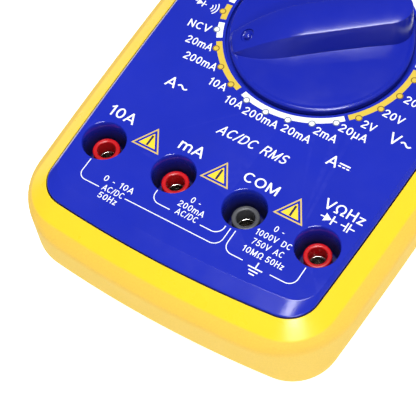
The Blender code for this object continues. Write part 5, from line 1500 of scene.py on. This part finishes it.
# --------------------------------------------------------------------------------------------- floor, light, camera
bm = bmesh.new()
bmesh.ops.create_grid(bm, x_segments=1, y_segments=1, size=1500.0)
floor = to_object(bm, "floor", None)
k = Look("floor_paper")
k.put("Base Color", k.ramp(k.noise(3.0), (0.3, (0.90, 0.90, 0.90)), (0.7, (0.92, 0.92, 0.92)))).put("Roughness", 0.9)
seen = k.t.nodes.new("ShaderNodeLightPath").outputs["Is Camera Ray"]
k.put("Specular IOR Level", 0.1).put("Emission Color", (1.0, 1.0, 1.0, 1.0)).put("Emission Strength", k.span(seen, 0.0, 1.0, 0.30, 0.62))
floor.data.materials.append(k.m)

world = bpy.data.worlds.new("studio")
scene.world = world
world.use_nodes = True
wt = world.node_tree
wt.nodes.clear()
wo = wt.nodes.new("ShaderNodeOutputWorld")
bg = wt.nodes.new("ShaderNodeBackground")
dim = wt.nodes.new("ShaderNodeBackground")
mx = wt.nodes.new("ShaderNodeMixShader")
lp = wt.nodes.new("ShaderNodeLightPath")
bg.inputs["Color"].default_value = (1.0, 1.0, 1.0, 1.0)
bg.inputs["Strength"].default_value = 0.62
dim.inputs["Color"].default_value = (0.95, 0.97, 1.0, 1.0)
dim.inputs["Strength"].default_value = 0.10
wt.links.new(lp.outputs["Is Glossy Ray"], mx.inputs[0])
wt.links.new(bg.outputs[0], mx.inputs[1])
wt.links.new(dim.outputs[0], mx.inputs[2])
wt.links.new(mx.outputs[0], wo.inputs["Surface"])


def area(name, place, aim, size, power, colour=(1, 1, 1), shape="RECTANGLE", size_y=None):
    li = bpy.data.lights.new(name, "AREA")
    li.shape = shape
    li.size = size
    li.size_y = size_y or size
    li.energy = power
    li.color = colour
    ob = bpy.data.objects.new(name, li)
    ob.location = place
    ob.rotation_euler = (Vector(aim) - Vector(place)).to_track_quat("-Z", "Y").to_euler()
    scene.collection.objects.link(ob)
    return ob


area("top_soft", (0.02, -0.05, 0.75), (0.0, -0.03, 0.0), 0.26, 4.5)
area("front_soft", (0.386, -0.46, 0.54), (0.02, -0.08, 0.03), 0.13, 1.5)
glint = area("front_strip", (0.386, -0.46, 0.54), (0.02, -0.08, 0.03), 0.40, 6.0, size_y=0.19)
glint.visible_diffuse = False

cam = bpy.data.cameras.new("camera")
cam.sensor_width = 36.0
cam.lens = 139.945
cam.clip_start = 0.01
co = bpy.data.objects.new("camera", cam)
R = ((0.8405888544291579, 0.536348218703434, -0.07576916327325742), (0.42254747574855545, -0.7367980776374822, -0.5278088892091861),
     (-0.3389159313871217, 0.41165420085718096, -0.8459768379622669))
co.matrix_world = Matrix(((R[0][0], -R[1][0], -R[2][0], 0.124809237), (R[0][1], -R[1][1], -R[2][1], -0.218381361),
                          (R[0][2], -R[1][2], -R[2][2], 0.343866203), (0, 0, 0, 1)))
scene.collection.objects.link(co)
scene.camera = co
scene.view_settings.view_transform = "Standard"
scene.view_settings.look = "None"
scene.view_settings.exposure = 0.0
